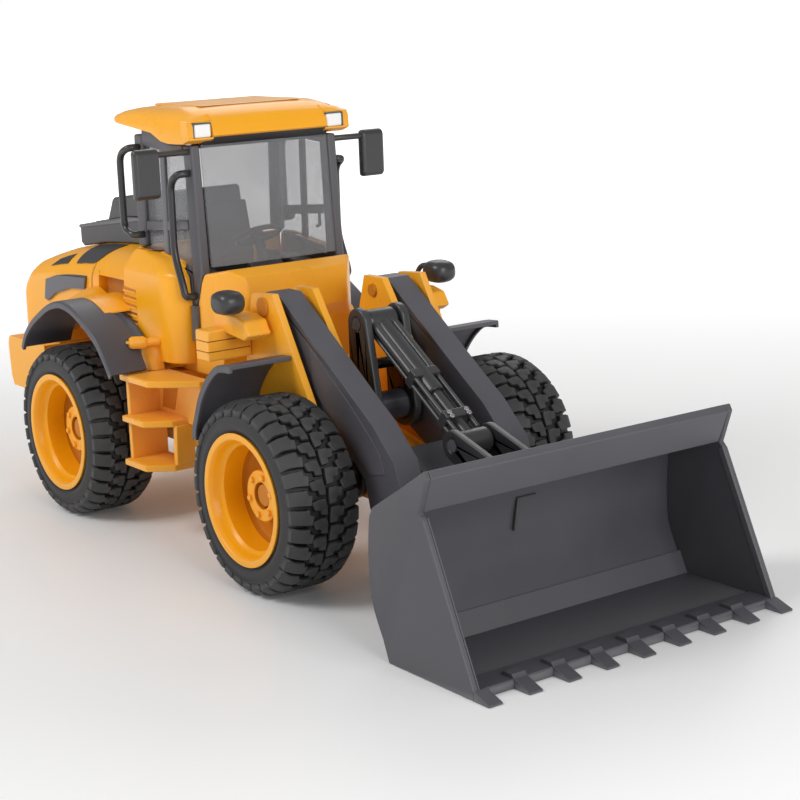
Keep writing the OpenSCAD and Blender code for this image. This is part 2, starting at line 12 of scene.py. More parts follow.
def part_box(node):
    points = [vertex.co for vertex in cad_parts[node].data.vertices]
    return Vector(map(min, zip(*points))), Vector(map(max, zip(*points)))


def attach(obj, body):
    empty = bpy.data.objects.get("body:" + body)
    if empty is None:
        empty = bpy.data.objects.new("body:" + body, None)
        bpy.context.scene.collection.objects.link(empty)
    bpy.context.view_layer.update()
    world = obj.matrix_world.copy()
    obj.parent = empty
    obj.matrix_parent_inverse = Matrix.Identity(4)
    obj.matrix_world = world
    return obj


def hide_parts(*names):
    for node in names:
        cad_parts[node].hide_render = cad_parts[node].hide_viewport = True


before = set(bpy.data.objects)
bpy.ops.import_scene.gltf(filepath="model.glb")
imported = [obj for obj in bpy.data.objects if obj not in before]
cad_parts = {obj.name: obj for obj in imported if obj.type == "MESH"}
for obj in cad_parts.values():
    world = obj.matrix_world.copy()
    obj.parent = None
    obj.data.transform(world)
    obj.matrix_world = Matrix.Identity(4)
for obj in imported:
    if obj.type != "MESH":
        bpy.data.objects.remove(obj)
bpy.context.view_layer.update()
MM = 0.001


def middle(node):
    low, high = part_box(node)
    return [(a + b) / 2 for a, b in zip(low, high)]


FRONT = middle("tyre_front_right")
REAR = middle("tyre_rear_right")
TYRE_LOW, TYRE_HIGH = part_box("tyre_front_right")
TYRE_R = (TYRE_HIGH[2] - TYRE_LOW[2]) / 2 / MM
TYRE_HALF = (TYRE_HIGH[1] - TYRE_LOW[1]) / 2 / MM
TAIL = (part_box("counterweight")[0][0] - FRONT[0]) / MM
SIDES = {"left": 1, "right": -1}
BOX_FACES = [(0, 1, 2, 3), (7, 6, 5, 4), (0, 4, 5, 1), (1, 5, 6, 2), (2, 6, 7, 3), (3, 7, 4, 0)]


def at(x, y, z):
    """A point in metres from millimetres counted from the front axle."""
    return Vector((FRONT[0] + x * MM, y * MM, z * MM))


def turns(n):
    """n angles, evenly spaced round a circle."""
    return [2 * math.pi * i / n for i in range(n)]


def add_object(name, data):
    obj = bpy.data.objects.new(name, data)
    bpy.context.scene.collection.objects.link(obj)
    return obj


# ---------- Materials ----------

def new_material(name):
    mat = bpy.data.materials.new(name)
    mat.use_nodes = True
    tree = mat.node_tree
    return mat, tree, tree.nodes["Principled BSDF"], tree.links.new


def node(tree, kind, **values):
    made = tree.nodes.new(kind)
    for key, value in values.items():
        if key in made.inputs:
            made.inputs[key].default_value = value
        else:
            setattr(made, key, value)
    return made


def ramp(tree, source, stops):
    made = tree.nodes.new("ShaderNodeValToRGB")
    while len(made.color_ramp.elements) < len(stops):
        made.color_ramp.elements.new(0.5)
    for element, (place, colour) in zip(made.color_ramp.elements, stops):
        element.position = place
        element.color = (*colour, 1)
    tree.links.new(source, made.inputs["Fac"])
    return made.outputs["Color"]


def shade(colour, k):
    return tuple(min(1, c * k) for c in colour)


def plastic(name, colour, rough, grain=0.1, grain_scale=1400, mottle=0.06, edge_pale=0.25, coat=0.0, shine=0.5):
    """Moulded plastic: faint mottling, fine surface grain and slightly paler sharp edges."""
    mat, tree, shader, link = new_material(name)
    coords = node(tree, "ShaderNodeTexCoord").outputs["Object"]
    cloud = node(tree, "ShaderNodeTexNoise", Scale=38, Detail=4)
    fine = node(tree, "ShaderNodeTexNoise", Scale=grain_scale, Detail=3)
    link(coords, cloud.inputs["Vector"])
    link(coords, fine.inputs["Vector"])
    base = ramp(tree, cloud.outputs["Fac"], [(0.3, shade(colour, 1 - mottle)), (0.7, shade(colour, 1 + mottle))])
    edge = node(tree, "ShaderNodeNewGeometry")
    # Sharp convex edges (high pointiness) are mixed towards a paler colour.
    pale_edge = ramp(tree, edge.outputs["Pointiness"], [(0.5, (0, 0, 0)), (0.62, (edge_pale, edge_pale, edge_pale))])
    mixed = node(tree, "ShaderNodeMix", data_type="RGBA")
    link(pale_edge, mixed.inputs["Factor"])
    link(base, mixed.inputs["A"])
    mixed.inputs["B"].default_value = (*[c + (1 - c) * 0.35 for c in colour], 1)
    link(mixed.outputs["Result"], shader.inputs["Base Color"])
    gloss = ramp(tree, cloud.outputs["Fac"], [(0.3, (rough - 0.05,) * 3), (0.7, (rough + 0.05,) * 3)])
    link(gloss, shader.inputs["Roughness"])
    bump = node(tree, "ShaderNodeBump", Strength=grain, Distance=0.00012)
    link(fine.outputs["Fac"], bump.inputs["Height"])
    link(bump.outputs["Normal"], shader.inputs["Normal"])
    for key, value in (("Specular IOR Level", shine), ("Coat Weight", coat), ("Coat Roughness", 0.15)):
        shader.inputs[key].default_value = value
    return mat


def metal(name, colour, rough):
    """Turned steel with fine streaks."""
    mat, tree, shader, link = new_material(name)
    coords = node(tree, "ShaderNodeTexCoord").outputs["Object"]
    streaks = node(tree, "ShaderNodeTexNoise", Scale=900, Detail=4)
    stretch = node(tree, "ShaderNodeMapping")
    stretch.inputs["Scale"].default_value = (1, 0.08, 1)
    link(coords, stretch.inputs["Vector"])
    link(stretch.outputs["Vector"], streaks.inputs["Vector"])
    tone = ramp(tree, streaks.outputs["Fac"], [(0.3, shade(colour, 0.8)), (0.7, colour)])
    link(tone, shader.inputs["Base Color"])
    gloss = ramp(tree, streaks.outputs["Fac"], [(0.3, (rough,) * 3), (0.7, (rough + 0.15,) * 3)])
    link(gloss, shader.inputs["Roughness"])
    shader.inputs["Metallic"].default_value = 1.0
    return mat


def clear(name, tint, alpha):
    """Clear moulded glazing, slightly smoky, with soft streaks."""
    mat, tree, shader, link = new_material(name)
    coords = node(tree, "ShaderNodeTexCoord").outputs["Object"]
    haze = node(tree, "ShaderNodeTexNoise", Scale=30, Detail=3)
    link(coords, haze.inputs["Vector"])
    tone = ramp(tree, haze.outputs["Fac"], [(0.3, shade(tint, 0.93)), (0.7, tint)])
    link(tone, shader.inputs["Base Color"])
    see = ramp(tree, haze.outputs["Fac"], [(0.3, (alpha - 0.03,) * 3), (0.7, (alpha + 0.05,) * 3)])
    link(see, shader.inputs["Alpha"])
    shader.inputs["Roughness"].default_value = 0.12
    shader.inputs["IOR"].default_value = 1.49
    return mat


YELLOW = plastic("yellow_plastic", (0.95, 0.41, 0.004), 0.3, grain=0.12, coat=0.06, mottle=0.03, edge_pale=0.25,
                 shine=0.32)
# A darker copy of the yellow plastic: painted shade for recesses, grooves, slots, wheel dishes and the pins and axle
# ends set in shadow.
YELLOW_PAINTED_SHADE = plastic("yellow_recess_painted_shade", (0.58, 0.2, 0.006), 0.5, grain=0.15, mottle=0.05, edge_pale=0.1, shine=0.3)
# A still darker copy of the yellow plastic: painted shade deep inside slots and on the recess hatch.
YELLOW_DARK_PAINTED_SHADE = plastic("yellow_slot_painted_shade", (0.26, 0.075, 0.008), 0.6, grain=0.15, mottle=0.05, edge_pale=0.05)
DARK = plastic("dark_grey_plastic", (0.058, 0.056, 0.068), 0.42, grain=0.28, grain_scale=1900, mottle=0.08, edge_pale=0.25)
BLACK = plastic("black_plastic", (0.009, 0.009, 0.011), 0.36, grain=0.15, mottle=0.12, edge_pale=0.2, coat=0.1)
RUBBER = plastic("tyre_tread_rubber", (0.012, 0.012, 0.013), 0.55, grain=0.5, grain_scale=1100, mottle=0.25,
                 edge_pale=0.12)
SIDEWALL = plastic("tyre_side_rubber", (0.022, 0.022, 0.024), 0.55, grain=0.3, grain_scale=1100, mottle=0.1,
                   edge_pale=0.12)
STEEL = metal("steel_pins", (0.6, 0.6, 0.6), 0.3)
LAMP = plastic("lamp_white", (0.92, 0.92, 0.9), 0.2, grain=0.03, mottle=0.02, edge_pale=0.0, coat=0.5)
LENS = plastic("lamp_lens", (0.45, 0.46, 0.47), 0.12, grain=0.02, mottle=0.05, edge_pale=0.0, coat=0.6)
# A darker copy of the dark grey plastic: painted shade on the grilles, intake, lamp frames, pillar feet and crank
# pin.
DARK_GREY_PAINTED_SHADE = plastic("dark_grey_painted_shade", (0.032, 0.031, 0.036), 0.45, grain=0.25, grain_scale=1900, mottle=0.1,
                   edge_pale=0.2)
SEAT = plastic("seat_plastic", (0.03, 0.03, 0.034), 0.6, grain=0.5, grain_scale=900, mottle=0.15, edge_pale=0.2)
GLASS = clear("clear_plastic", (0.3, 0.31, 0.33), 0.34)


# ---------- Mesh tools ----------

def piece(name, verts, faces, material, body="rear_chassis", replaces=(), bevel=0.5, sharp=32, segments=3):
    """A finished mesh piece: vertices in metres, edges rounded by bevel millimetres."""
    mesh = bpy.data.meshes.new(name)
    mesh.from_pydata([tuple(v) for v in verts], [], faces)
    work = bmesh.new()
    work.from_mesh(mesh)
    bmesh.ops.remove_doubles(work, verts=work.verts, dist=1e-6)
    bmesh.ops.recalc_face_normals(work, faces=work.faces)
    work.to_mesh(mesh)
    work.free()
    mesh.validate()
    obj = add_object(name, mesh)
    finish_look(obj, bevel, sharp, segments)
    obj.data.materials.append(material)
    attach(obj, body)
    if replaces:
        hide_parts(*replaces)
    return obj


def finish_look(obj, bevel, sharp, segments=3):
    for poly in obj.data.polygons:
        poly.use_smooth = True
    if bevel:
        edge = obj.modifiers.new("edges", "BEVEL")
        edge.width = bevel * MM
        edge.segments = segments
        edge.limit_method = "ANGLE"
        edge.angle_limit = math.radians(sharp)
        edge.harden_normals = True
    normals = obj.modifiers.new("normals", "WEIGHTED_NORMAL")
    normals.keep_sharp = True


def between(first, last):
    """The solid between two outlines with the same number of points."""
    n = len(first)
    faces = [tuple(range(n)), tuple(range(2 * n - 1, n - 1, -1))]
    faces += [(i, (i + 1) % n, n + (i + 1) % n, n + i) for i in range(n)]
    return first + last, faces


def prism_data(outline, y0, y1):
    """A side outline in millimetres, as a solid from y0 to y1."""
    return between([at(x, y0, z) for x, z in outline], [at(x, y1, z) for x, z in outline])


def prism(name, outline, y0, y1, material, body="rear_chassis", **look):
    return piece(name, *prism_data(outline, y0, y1), material, body, **look)


def merge(*parts):
    """Joins several (verts, faces) lists into one."""
    verts, faces = [], []
    for part_verts, part_faces in parts:
        start = len(verts)
        verts += list(part_verts)
        faces += [tuple(i + start for i in face) for face in part_faces]
    return verts, faces


def mirrored(data):
    verts, faces = data
    return [Vector((v[0], -v[1], v[2])) for v in verts], [tuple(reversed(f)) for f in faces]


def sided(data, side):
    return data if side > 0 else mirrored(data)


def flank(name, side, outline, y0, y1, material, body="rear_chassis", once="", **look):
    """A prism on one side of the machine; the left one replaces the node named in once."""
    if once and side > 0:
        look["replaces"] = [once]
    label = "left" if side > 0 else "right"
    return piece(name.format(label), *sided(prism_data(outline, y0, y1), side), material, body, **look)


def block_data(x0, y0, z0, x1, y1, z1):
    return prism_data([(x0, z0), (x1, z0), (x1, z1), (x0, z1)], y0, y1)


def ring_data(rings, closed=True, capped=True):
    """Skins a list of rings with the same number of points."""
    n = len(rings[0])
    verts = [v for ring in rings for v in ring]
    faces = []
    for k in range(len(rings) - 1):
        for i in range(n if closed else n - 1):
            j = (i + 1) % n
            faces.append((k * n + i, k * n + j, (k + 1) * n + j, (k + 1) * n + i))
    if capped:
        faces += [tuple(range(n)), tuple(range((len(rings) - 1) * n, len(rings) * n))]
    return verts, faces


def rod_data(start, end, r, sides=20, chamfer=0.12):
    """A round bar between two points in metres, r in millimetres, with chamfered ends."""
    axis = end - start
    up = Vector((0, 0, 1)) if abs(axis.normalized().z) < 0.9 else Vector((1, 0, 0))
    u = axis.cross(up).normalized()
    v = axis.cross(u).normalized()
    cut = min(r * chamfer * MM * 2, axis.length / 4)
    rings = []
    for place, radius in ((0, r * (1 - chamfer)), (cut, r), (axis.length - cut, r), (axis.length, r * (1 - chamfer))):
        centre = start + axis.normalized() * place
        rings.append([centre + (u * math.cos(t) + v * math.sin(t)) * radius * MM
                      for t in turns(sides)])
    return ring_data(rings)


def bolt_data(centre, axis, r, h, sides=6):
    """A hexagon screw head, standing out along axis."""
    return rod_data(centre, centre + axis.normalized() * h * MM, r, sides, 0.15)


def tube_data(points, r, sides=14, per_bend=6, bend=5):
    """A tube of radius r along straight runs with rounded bends, all in millimetres."""
    path = [Vector(points[0])]
    for before, corner, after in zip(points, points[1:], points[2:]):
        a, b, c = Vector(before), Vector(corner), Vector(after)
        cut = min(bend, (a - b).length / 2, (c - b).length / 2)
        start, end = b + (a - b).normalized() * cut, b + (c - b).normalized() * cut
        for i in range(per_bend + 1):
            t = i / per_bend
            path.append((1 - t) ** 2 * start + 2 * t * (1 - t) * b + t ** 2 * end)
    path.append(Vector(points[-1]))
    rings = []
    side = None
    for i, p in enumerate(path):
        along = (path[min(i + 1, len(path) - 1)] - path[max(i - 1, 0)]).normalized()
        if side is None:
            side = along.orthogonal().normalized()
        side = (side - along * side.dot(along)).normalized()
        other = along.cross(side)
        rings.append([at(*(p + (side * math.cos(t) + other * math.sin(t)) * r))
                      for t in turns(sides)])
    return ring_data(rings)


def keep_cad(name, material, bevel=0.4, sharp=30):
    """Shows a CAD node as it is, with rounded edges and a finished material."""
    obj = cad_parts[name]
    obj.data.materials.clear()
    obj.data.materials.append(material)
    weld = obj.modifiers.new("weld", "WELD")
    weld.merge_threshold = 1e-6
    finish_look(obj, bevel, sharp, 2)


def interp(points, x):
    """Piecewise-linear height through (x, height) points."""
    for (xa, za), (xb, zb) in zip(points, points[1:]):
        if x <= xb:
            return za + (zb - za) * max(0, (x - xa) / (xb - xa))
    return points[-1][1]


# ---------- Wheels ----------

LUGS = 32
LUG_H = 2.3


def on_wheel(axle, side, r, y, turn):
    """A point at radius r, y millimetres out from the wheel's middle, at an angle around the axle."""
    centre = FRONT if axle == "front" else REAR
    mid_y = abs(FRONT[1])
    return Vector((centre[0] + r * MM * math.cos(turn), side * (mid_y + y * MM), centre[2] + r * MM * math.sin(turn)))


def lathe_data(axle, side, profile, steps=96):
    rings = [[on_wheel(axle, side, r, y, turn) for r, y in profile] for turn in turns(steps)]
    n = len(profile)
    verts = [v for ring in rings for v in ring]
    faces = []
    for k in range(steps):
        m = (k + 1) % steps
        faces += [(k * n + i, k * n + (i + 1) % n, m * n + (i + 1) % n, m * n + i) for i in range(n)]
    return verts, faces


def crown(y):
    """Outer radius of the tread at a distance from the middle of the tyre."""
    t = max(0, (abs(y) - 0.52 * TYRE_HALF) / (0.48 * TYRE_HALF))
    return TYRE_R - 3.4 * t ** 2.6


def lug_data(axle, side, outline, turn0):
    """A tread block: outline points are (arc length, y); the top is drawn in a little."""
    mid_s = sum(s for s, _ in outline) / len(outline)
    mid_y = sum(y for _, y in outline) / len(outline)
    rings = []
    for level, shrink in ((-1.0, 1.06), (LUG_H - 0.5, 0.98), (LUG_H, 0.88)):
        ring = []
        for s, y in outline:
            ss, yy = mid_s + (s - mid_s) * shrink, mid_y + (y - mid_y) * (shrink if abs(y) < 14 else 1)
            ring.append(on_wheel(axle, side, crown(yy) - LUG_H + level, yy, turn0 + ss / TYRE_R))
        rings.append(ring)
    return ring_data(rings)


def tyre(axle, side_name):
    side = SIDES[side_name]
    h, r = TYRE_HALF, TYRE_R
    base = r - LUG_H
    rim = 25.15
    profile = [(rim, -h + 1), (rim + 1.6, -h + 0.3), (r - 8.5, -h), (r - 6.5, -h + 0.2), (r - 4.6, -h + 1.2),
               (base - 1.2, -h + 3.4), (base, -h + 7), (base + 0.2, 0), (base, h - 7), (base - 1.2, h - 3.4),
               (r - 4.6, h - 1.2), (r - 6.2, h - 0.35), (r - 6.6, h - 0.6), (r - 8.8, h - 0.05),
               (rim + 2.4, h - 0.25), (rim + 1.7, h - 0.9), (rim + 1.2, h - 0.7), (rim, h - 1.6)]
    obj = piece(f"tyre_{axle}_{side_name}_carcass", *lathe_data(axle, side, profile), SIDEWALL,
                f"wheel_{axle}_{side_name}", replaces=[f"tyre_{axle}_{side_name}"], bevel=0)
    obj.data.materials.append(RUBBER)
    for poly in obj.data.polygons:
        far = abs(abs(poly.center.y) - abs(FRONT[1])) / MM
        poly.material_index = 1 if far < h - 2.2 else 0
    step = 2 * math.pi * r / LUGS
    edge = h - 0.5
    shoulder = [(0.2, 7.2), (0.6, 10), (0.9, 12.6), (0.9, edge), (step - 0.7, edge), (step - 0.7, 12.6),
                (step - 0.9, 10.2), (step - 0.8, 8.6), (step * 0.62, 8.3), (step * 0.52, 6.4)]
    centre = [(0.1, 0.45), (0.4, 3.4), (step * 0.3, 3.7), (step * 0.36, 6.2), (step * 0.78, 7.2),
              (step * 0.84, 4.6), (step - 0.9, 4.2), (step - 1.0, 1.0), (step * 0.5, 0.5)]
    parts = []
    for i in range(LUGS):
        for out in (-1, 1):
            turn0 = (i + (0.5 if out > 0 else 0)) * step / r
            parts.append(lug_data(axle, side, [(s, out * y) for s, y in shoulder], turn0))
            parts.append(lug_data(axle, side, [(s, out * y) for s, y in centre], turn0 + 0.42 * step / r))
    piece(f"tyre_{axle}_{side_name}_lugs", *merge(*parts), RUBBER, f"wheel_{axle}_{side_name}", bevel=0)


def rim(axle, side_name):
    side = SIDES[side_name]
    out = TYRE_HALF + 0.3
    profile = [(3.1, -out + 1), (9, -out + 1), (9.6, out - 19.4), (19.4, out - 18.6), (19.6, -out + 2),
               (25, -out + 1)]
    face = [(25, 2.2), (26.0, 0.7), (26.1, 0.15), (25.7, 0), (23.9, 0), (23.3, 0.4), (22.6, 2.6), (22.2, 4.2),
            (21.4, 4.9), (20.6, 5.6), (20.1, 13.6), (19.2, 15.6), (17.4, 16.4), (11.6, 16.6), (10.7, 16), (10.3, 14),
            (10.2, 10.2), (9.8, 9.7), (5.9, 9.7), (5.3, 10.1), (5.2, 12.6), (4.6, 12.9), (3.1, 12.9)]
    profile += [(r, out - depth) for r, depth in face]
    body = f"wheel_{axle}_{side_name}"
    parts = [lathe_data(axle, side, profile)]
    for i in range(6):
        turn = math.radians(60 * i + 15)
        centre = on_wheel(axle, side, 7.8, out - 10.2, turn)
        parts.append(bolt_data(centre, Vector((0, side, 0)), 1.35, 1.6))
    obj = piece(f"rim_{axle}_{side_name}_moulding", *merge(*parts), YELLOW, body,
                replaces=[f"rim_{axle}_{side_name}"], bevel=0.15, sharp=40, segments=2)
    # The recessed dish and hub barrel take the darker yellow: painted shade in the wheel's hollow.
    obj.data.materials.append(YELLOW_PAINTED_SHADE)
    for poly in obj.data.polygons:
        depth = abs(FRONT[1]) / MM + out - abs(poly.center.y) / MM
        poly.material_index = 1 if 10.4 < depth < 24 else 0


for axle_name in ("front", "rear"):
    for side_label in SIDES:
        tyre(axle_name, side_label)
        rim(axle_name, side_label)


# ---------- Hood and rear ----------

HOOD_TOP = [(TAIL + 4.2, 84), (TAIL + 5.5, 91), (TAIL + 8, 96.5), (TAIL + 12, 100.8), (TAIL + 19, 105.2),
            (TAIL + 30, 109), (TAIL + 42, 112.3), (TAIL + 60, 115.4), (-166, 117), (-150, 117.9), (-131, 118.8)]
HOOD_HALF = 41.8
HOOD_LOW = 78.2
RECESS = (-159, 80, 105)


def hood_low(x):
    """The hood comes down lower behind the rear wheels."""
    return HOOD_LOW - 10 if x < TAIL + 41 else HOOD_LOW


def hood_half(x):
    """Half width of the hood, rounded off towards the tail."""
    r = 4
    near = TAIL + 4.2 + r
    return HOOD_HALF if x >= near else HOOD_HALF - r + math.sqrt(max(0, r * r - (near - x) ** 2)) * 0.98


def hood_side(x, z):
    """Half width of the hood's surface at a height: straight flank, rounded shoulder."""
    top, half = interp(HOOD_TOP, x), hood_half(x)
    r = min(interp([(TAIL, 6), (TAIL + 14, 6), (TAIL + 54, 15)], x), (top - HOOD_LOW) * 0.5)
    if x > RECESS[0] and RECESS[1] < z < RECESS[2]:
        return half - 4.4
    if z <= top - r:
        return half - 0.01 * (z - HOOD_LOW)
    drop = min(1, (z - (top - r)) / r)
    return half - 0.01 * (top - r - HOOD_LOW) - r * 1.35 * (1 - math.sqrt(max(0, 1 - drop * drop)))


def hood():
    rings = []
    xs = [TAIL + 4.2 + k for k in (0, 0.6, 1.4, 2.6, 4.2, 6.4, 9, 12, 15, 19, 24, 30, 36.7, 36.9, 48, 60, 72, 80)]
    xs += [-159.1, -158.9, -145, -131]
    for x in xs:
        top, low = interp(HOOD_TOP, x), hood_low(x)
        if x > RECESS[0]:
            heights = [low, 79.9, 80.1, 92, 104.9, 105.1, 108, 111, 113.6, 115.6, 117.2, top - 0.3, top]
        else:
            heights = [low + (top - low) * t
                       for t in (0, 0.2, 0.4, 0.55, 0.65, 0.72, 0.79, 0.85, 0.9, 0.94, 0.97, 0.99, 1)]
        right = [(-hood_side(x, z), z) for z in heights]
        left = [(-y, z) for y, z in reversed(right)]
        crown_pts = [(y, top + 0.35 * (1 - (y / right[-1][0]) ** 2)) for y in (-18, -9, 0, 9, 18)]
        rings.append([at(x, y, z) for y, z in right + crown_pts + left])
    piece("hood_shell", *ring_data(rings), YELLOW, replaces=["engine_hood"], bevel=0.5, sharp=50)


def flank_panel(name, upper, lower, side, lift, material, rows=6, per=5, depth=0.8, bevel=0.15):
    """A thin panel lying on the hood's flank, between an upper and a lower edge of (x, z) points."""
    upper, lower = smooth_path(upper, per), smooth_path(lower, per)
    cols = len(upper) - 1
    verts, faces = [], []
    for layer in (lift, lift - depth):
        for i in range(rows + 1):
            for a, b in zip(upper, lower):
                x, z = a[0] + (b[0] - a[0]) * i / rows, a[1] + (b[1] - a[1]) * i / rows
                verts.append(at(x, side * (hood_side(x, z) + layer), z))
    n, w = (rows + 1) * (cols + 1), cols + 1
    for i in range(rows):
        for j in range(cols):
            k = i * w + j
            faces += [(k, k + 1, k + w + 1, k + w), (n + k, n + k + w, n + k + w + 1, n + k + 1)]
    edge = list(range(cols)) + [i * w + cols for i in range(rows)]
    edge += [rows * w + j for j in range(cols, 0, -1)] + [i * w for i in range(rows, 0, -1)]
    faces += [(edge[i], edge[(i + 1) % len(edge)], n + edge[(i + 1) % len(edge)], n + edge[i])
              for i in range(len(edge))]
    return piece(name, verts, faces, material, bevel=bevel, segments=2)


def hood_panels():
    for label, side in SIDES.items():
        upper = [(-212, 97.2), (-205, 99.6), (-197, 101.2), (-184, 102.6), (-170.5, 103.4)]
        lower = [(-213, 88.2), (-208, 89.6), (-201.7, 92.2), (-186, 96.3), (-172, 97.4)]
        # The grilles and the flank panel use the darker grey copy: painted shade.
        flank_panel(f"hood_grille_{label}", upper, lower, side, 0.5, DARK_GREY_PAINTED_SHADE)
        flank_panel(f"hood_upper_grille_{label}", [(-203, 107.8), (-198, 109.4), (-192.5, 110.8)],
                    [(-208.5, 104.2), (-201, 105.6), (-193.5, 106.6)], side, 0.5, DARK_GREY_PAINTED_SHADE)
        flank_panel(f"hood_side_panel_{label}", [(-184, 114.9), (-174, 116), (-165, 116.7), (-157.5, 117.1)],
                    [(-184, 107.6), (-176, 108.6), (-166, 109.8), (-160.5, 114.6)], side, 0.6, DARK_GREY_PAINTED_SHADE)
        # The seam is a strip of the darker yellow: a painted shade line in the groove.
        flank_panel(f"hood_seam_{label}", [(-165.4, 109.4), (-164.4, 109.5)], [(-168, 79.5), (-167, 79.5)], side,
                    0.12, YELLOW_PAINTED_SHADE, rows=14, per=1, depth=0.4, bevel=0)
        for k in range(7):
            stud = at(-153.6 + 2.1 * k, side * 37.3, 91.6 + 0.25 * k)
            end = stud + Vector((0, side * 0.9 * MM, 0))
            piece(f"recess_stud_{label}_{k}", *rod_data(stud, end, 0.6, 10), YELLOW, bevel=0)
        # The hatch and the back of the recess are in darker yellows: painted shade inside the recess.
        hatch = [(-153.4, 86.2), (-141, 85.6), (-140.4, 89.4), (-152.8, 90)]
        flank("recess_hatch_{}", side, hatch, 37, 38, YELLOW_DARK_PAINTED_SHADE, bevel=0.2)
        back = [(-158.6, 80.4), (-131.4, 80.4), (-131.4, 104.6), (-158.6, 104.6)]
        flank("recess_back_{}", side, back, 36, 37.55, YELLOW_PAINTED_SHADE, bevel=0.2)
    for k in range(9):
        z = 76 + 2.1 * k
        piece(f"tail_louvre_{k}", *block_data(TAIL + 2.6, -24, z, TAIL + 7, 24, z + 1.1), DARK, bevel=0.2)


def counterweight():
    out, half, r = TAIL, 50, 1.6
    rings = []
    for z, back in ((44, 3.4), (45, 2.6), (48, 1.2), (55, 0.5), (64, 0), (66.6, 1), (67.6, 1.8), (68, 2.8)):
        x0, x1 = out + back, out + 41
        plan = [(x1, -half)] + [(x0 + r - r * math.sin(t), -half + r - r * math.cos(t))
                                for t in (math.radians(15 * i) for i in range(7))]
        plan += [(x, -y) for x, y in reversed(plan)]
        rings.append([at(x, y, z) for x, y in plan])
    piece("counterweight_shell", *ring_data(rings), YELLOW, replaces=["counterweight"], bevel=0.5, sharp=40)
    for label, side in SIDES.items():
        piece(f"tail_lamp_{label}", *sided(block_data(out + 0.2, 30, 57, out + 3.4, 42, 62), side), LENS, bevel=0.6)
        # The slot is a strip of the darker yellow: painted shade.
        piece(f"counterweight_slot_{label}", *sided(block_data(out + 0.4, 14, 49, out + 2, 40, 51), side),
              YELLOW_PAINTED_SHADE, bevel=0.2)


def intake():
    low = [(-207, 113.8), (-207, 121.2), (-206.2, 122), (-179, 126.2), (-160, 129.1), (-143, 130), (-143, 118.6),
           (-150, 118.2), (-184, 115.6), (-204, 112.2)]
    # The intake box and stack use the darker grey copy: painted shade.
    prism("intake_box", low, -24.9, 24.9, DARK_GREY_PAINTED_SHADE, replaces=["air_intake"], bevel=0.9)
    prism("intake_ridge", [(-207.2, 120.6), (-143, 129), (-143, 130.2), (-160, 129.4), (-207.2, 122.1)], -25.4, 25.4,
          DARK, bevel=0.3)
    prism("intake_stack", [(-179, 126.2), (-173.4, 136.2), (-171.6, 137.3), (-152, 139.9), (-149.6, 139),
                           (-147.6, 130), (-160, 129.1)], -24.7, 24.7, DARK_GREY_PAINTED_SHADE, bevel=0.8)
    for k in range(4):
        x = -202 + 5.4 * k
        top = interp([(-207, 122), (-160, 129.2)], x)
        piece(f"intake_slat_{k}", *block_data(x, -19, top - 0.6, x + 2.2, 19, top + 0.8), BLACK, bevel=0.25)


def band_points(path, thickness):
    """Closes a path into a band, thickened to its right-hand side."""
    inner = []
    for i, (x, z) in enumerate(path):
        xa, za = path[max(i - 1, 0)]
        xb, zb = path[min(i + 1, len(path) - 1)]
        size = math.hypot(xb - xa, zb - za)
        inner.append((x + thickness * (zb - za) / size, z - thickness * (xb - xa) / size))
    return path + inner[::-1]


def smooth_path(points, per=5):
    """A Catmull-Rom curve through the points."""
    out = []
    for i in range(len(points) - 1):
        p0, p1, p2, p3 = (Vector(points[max(0, min(len(points) - 1, k))]) for k in (i - 1, i, i + 1, i + 2))
        for j in range(per):
            t = j / per
            out.append(tuple(0.5 * (2 * p1 + (p2 - p0) * t + (2 * p0 - 5 * p1 + 4 * p2 - p3) * t * t
                                    + (3 * p1 - p0 - 3 * p2 + p3) * t ** 3)))
    return out + [tuple(points[-1])]


def fender_data(path, y0, y1, thickness, lip):
    """A curved mudguard with a rolled outer lip."""
    main = prism_data(band_points(path, thickness), y0, y1 - 1.2)
    edge = prism_data(band_points(path, lip), y1 - 1.6, y1)
    return merge(main, edge)


def rear_guard_data():
    """The rear mudguard narrows towards the steps, where the yellow body comes further out."""
    rings = []
    outer = REAR_FENDER
    inner = band_points(outer, 1.9)[len(outer):][::-1]
    for (x, z), (xi, zi) in zip(outer, inner):
        root = interp([(-158, 45.8), (-154, 56), (-127, 56), (-119, 52.4)], x)
        rings.append([at(x, root, z), at(x, 68.8, z), at(x, 69.6, z - 0.3), at(x, 69.9, z - 1),
                      at(xi, 69.9, zi - 1.2), at(xi, 68.4, zi - 1.2), at(xi, 68.2, zi), at(xi, root, zi)])
    return ring_data(rings)


def flare_data():
    """The body's swelling over the rear wheel."""
    rings = []
    for x, z in REAR_FENDER:
        if not -182 < x < -122:
            continue
        fade = max(0.06, min(1, (x + 184) / 10, (-152 - x) / 9))
        rings.append([at(x, y, z + rise * fade) for y, rise in ((41, 7), (45, 6.6), (50, 5.4), (54.5, 3.2))]
                     + [at(x, 57.6, z + 0.4), at(x, 57.6, z - 0.4), at(x, 41, z - 0.4)])
    return ring_data(rings)


REAR_FENDER = smooth_path([(-184.4, 73.7), (-180, 80.5), (-172.6, 86.6), (-164, 91.5), (-156, 95.4), (-148, 97.8),
                           (-140.8, 98.5), (-131.5, 96.9), (-120, 92), (-110, 85.8), (-103, 78.5), (-98.6, 72.4)], 3)
FRONT_FENDER = smooth_path([(-8.2, 88.4), (-17.5, 87.4), (-24, 83.4), (-29.5, 77.9), (-33.8, 71.9), (-37, 64.9),
                            (-39.3, 59.4), (-39.9, 54.6)], 3)


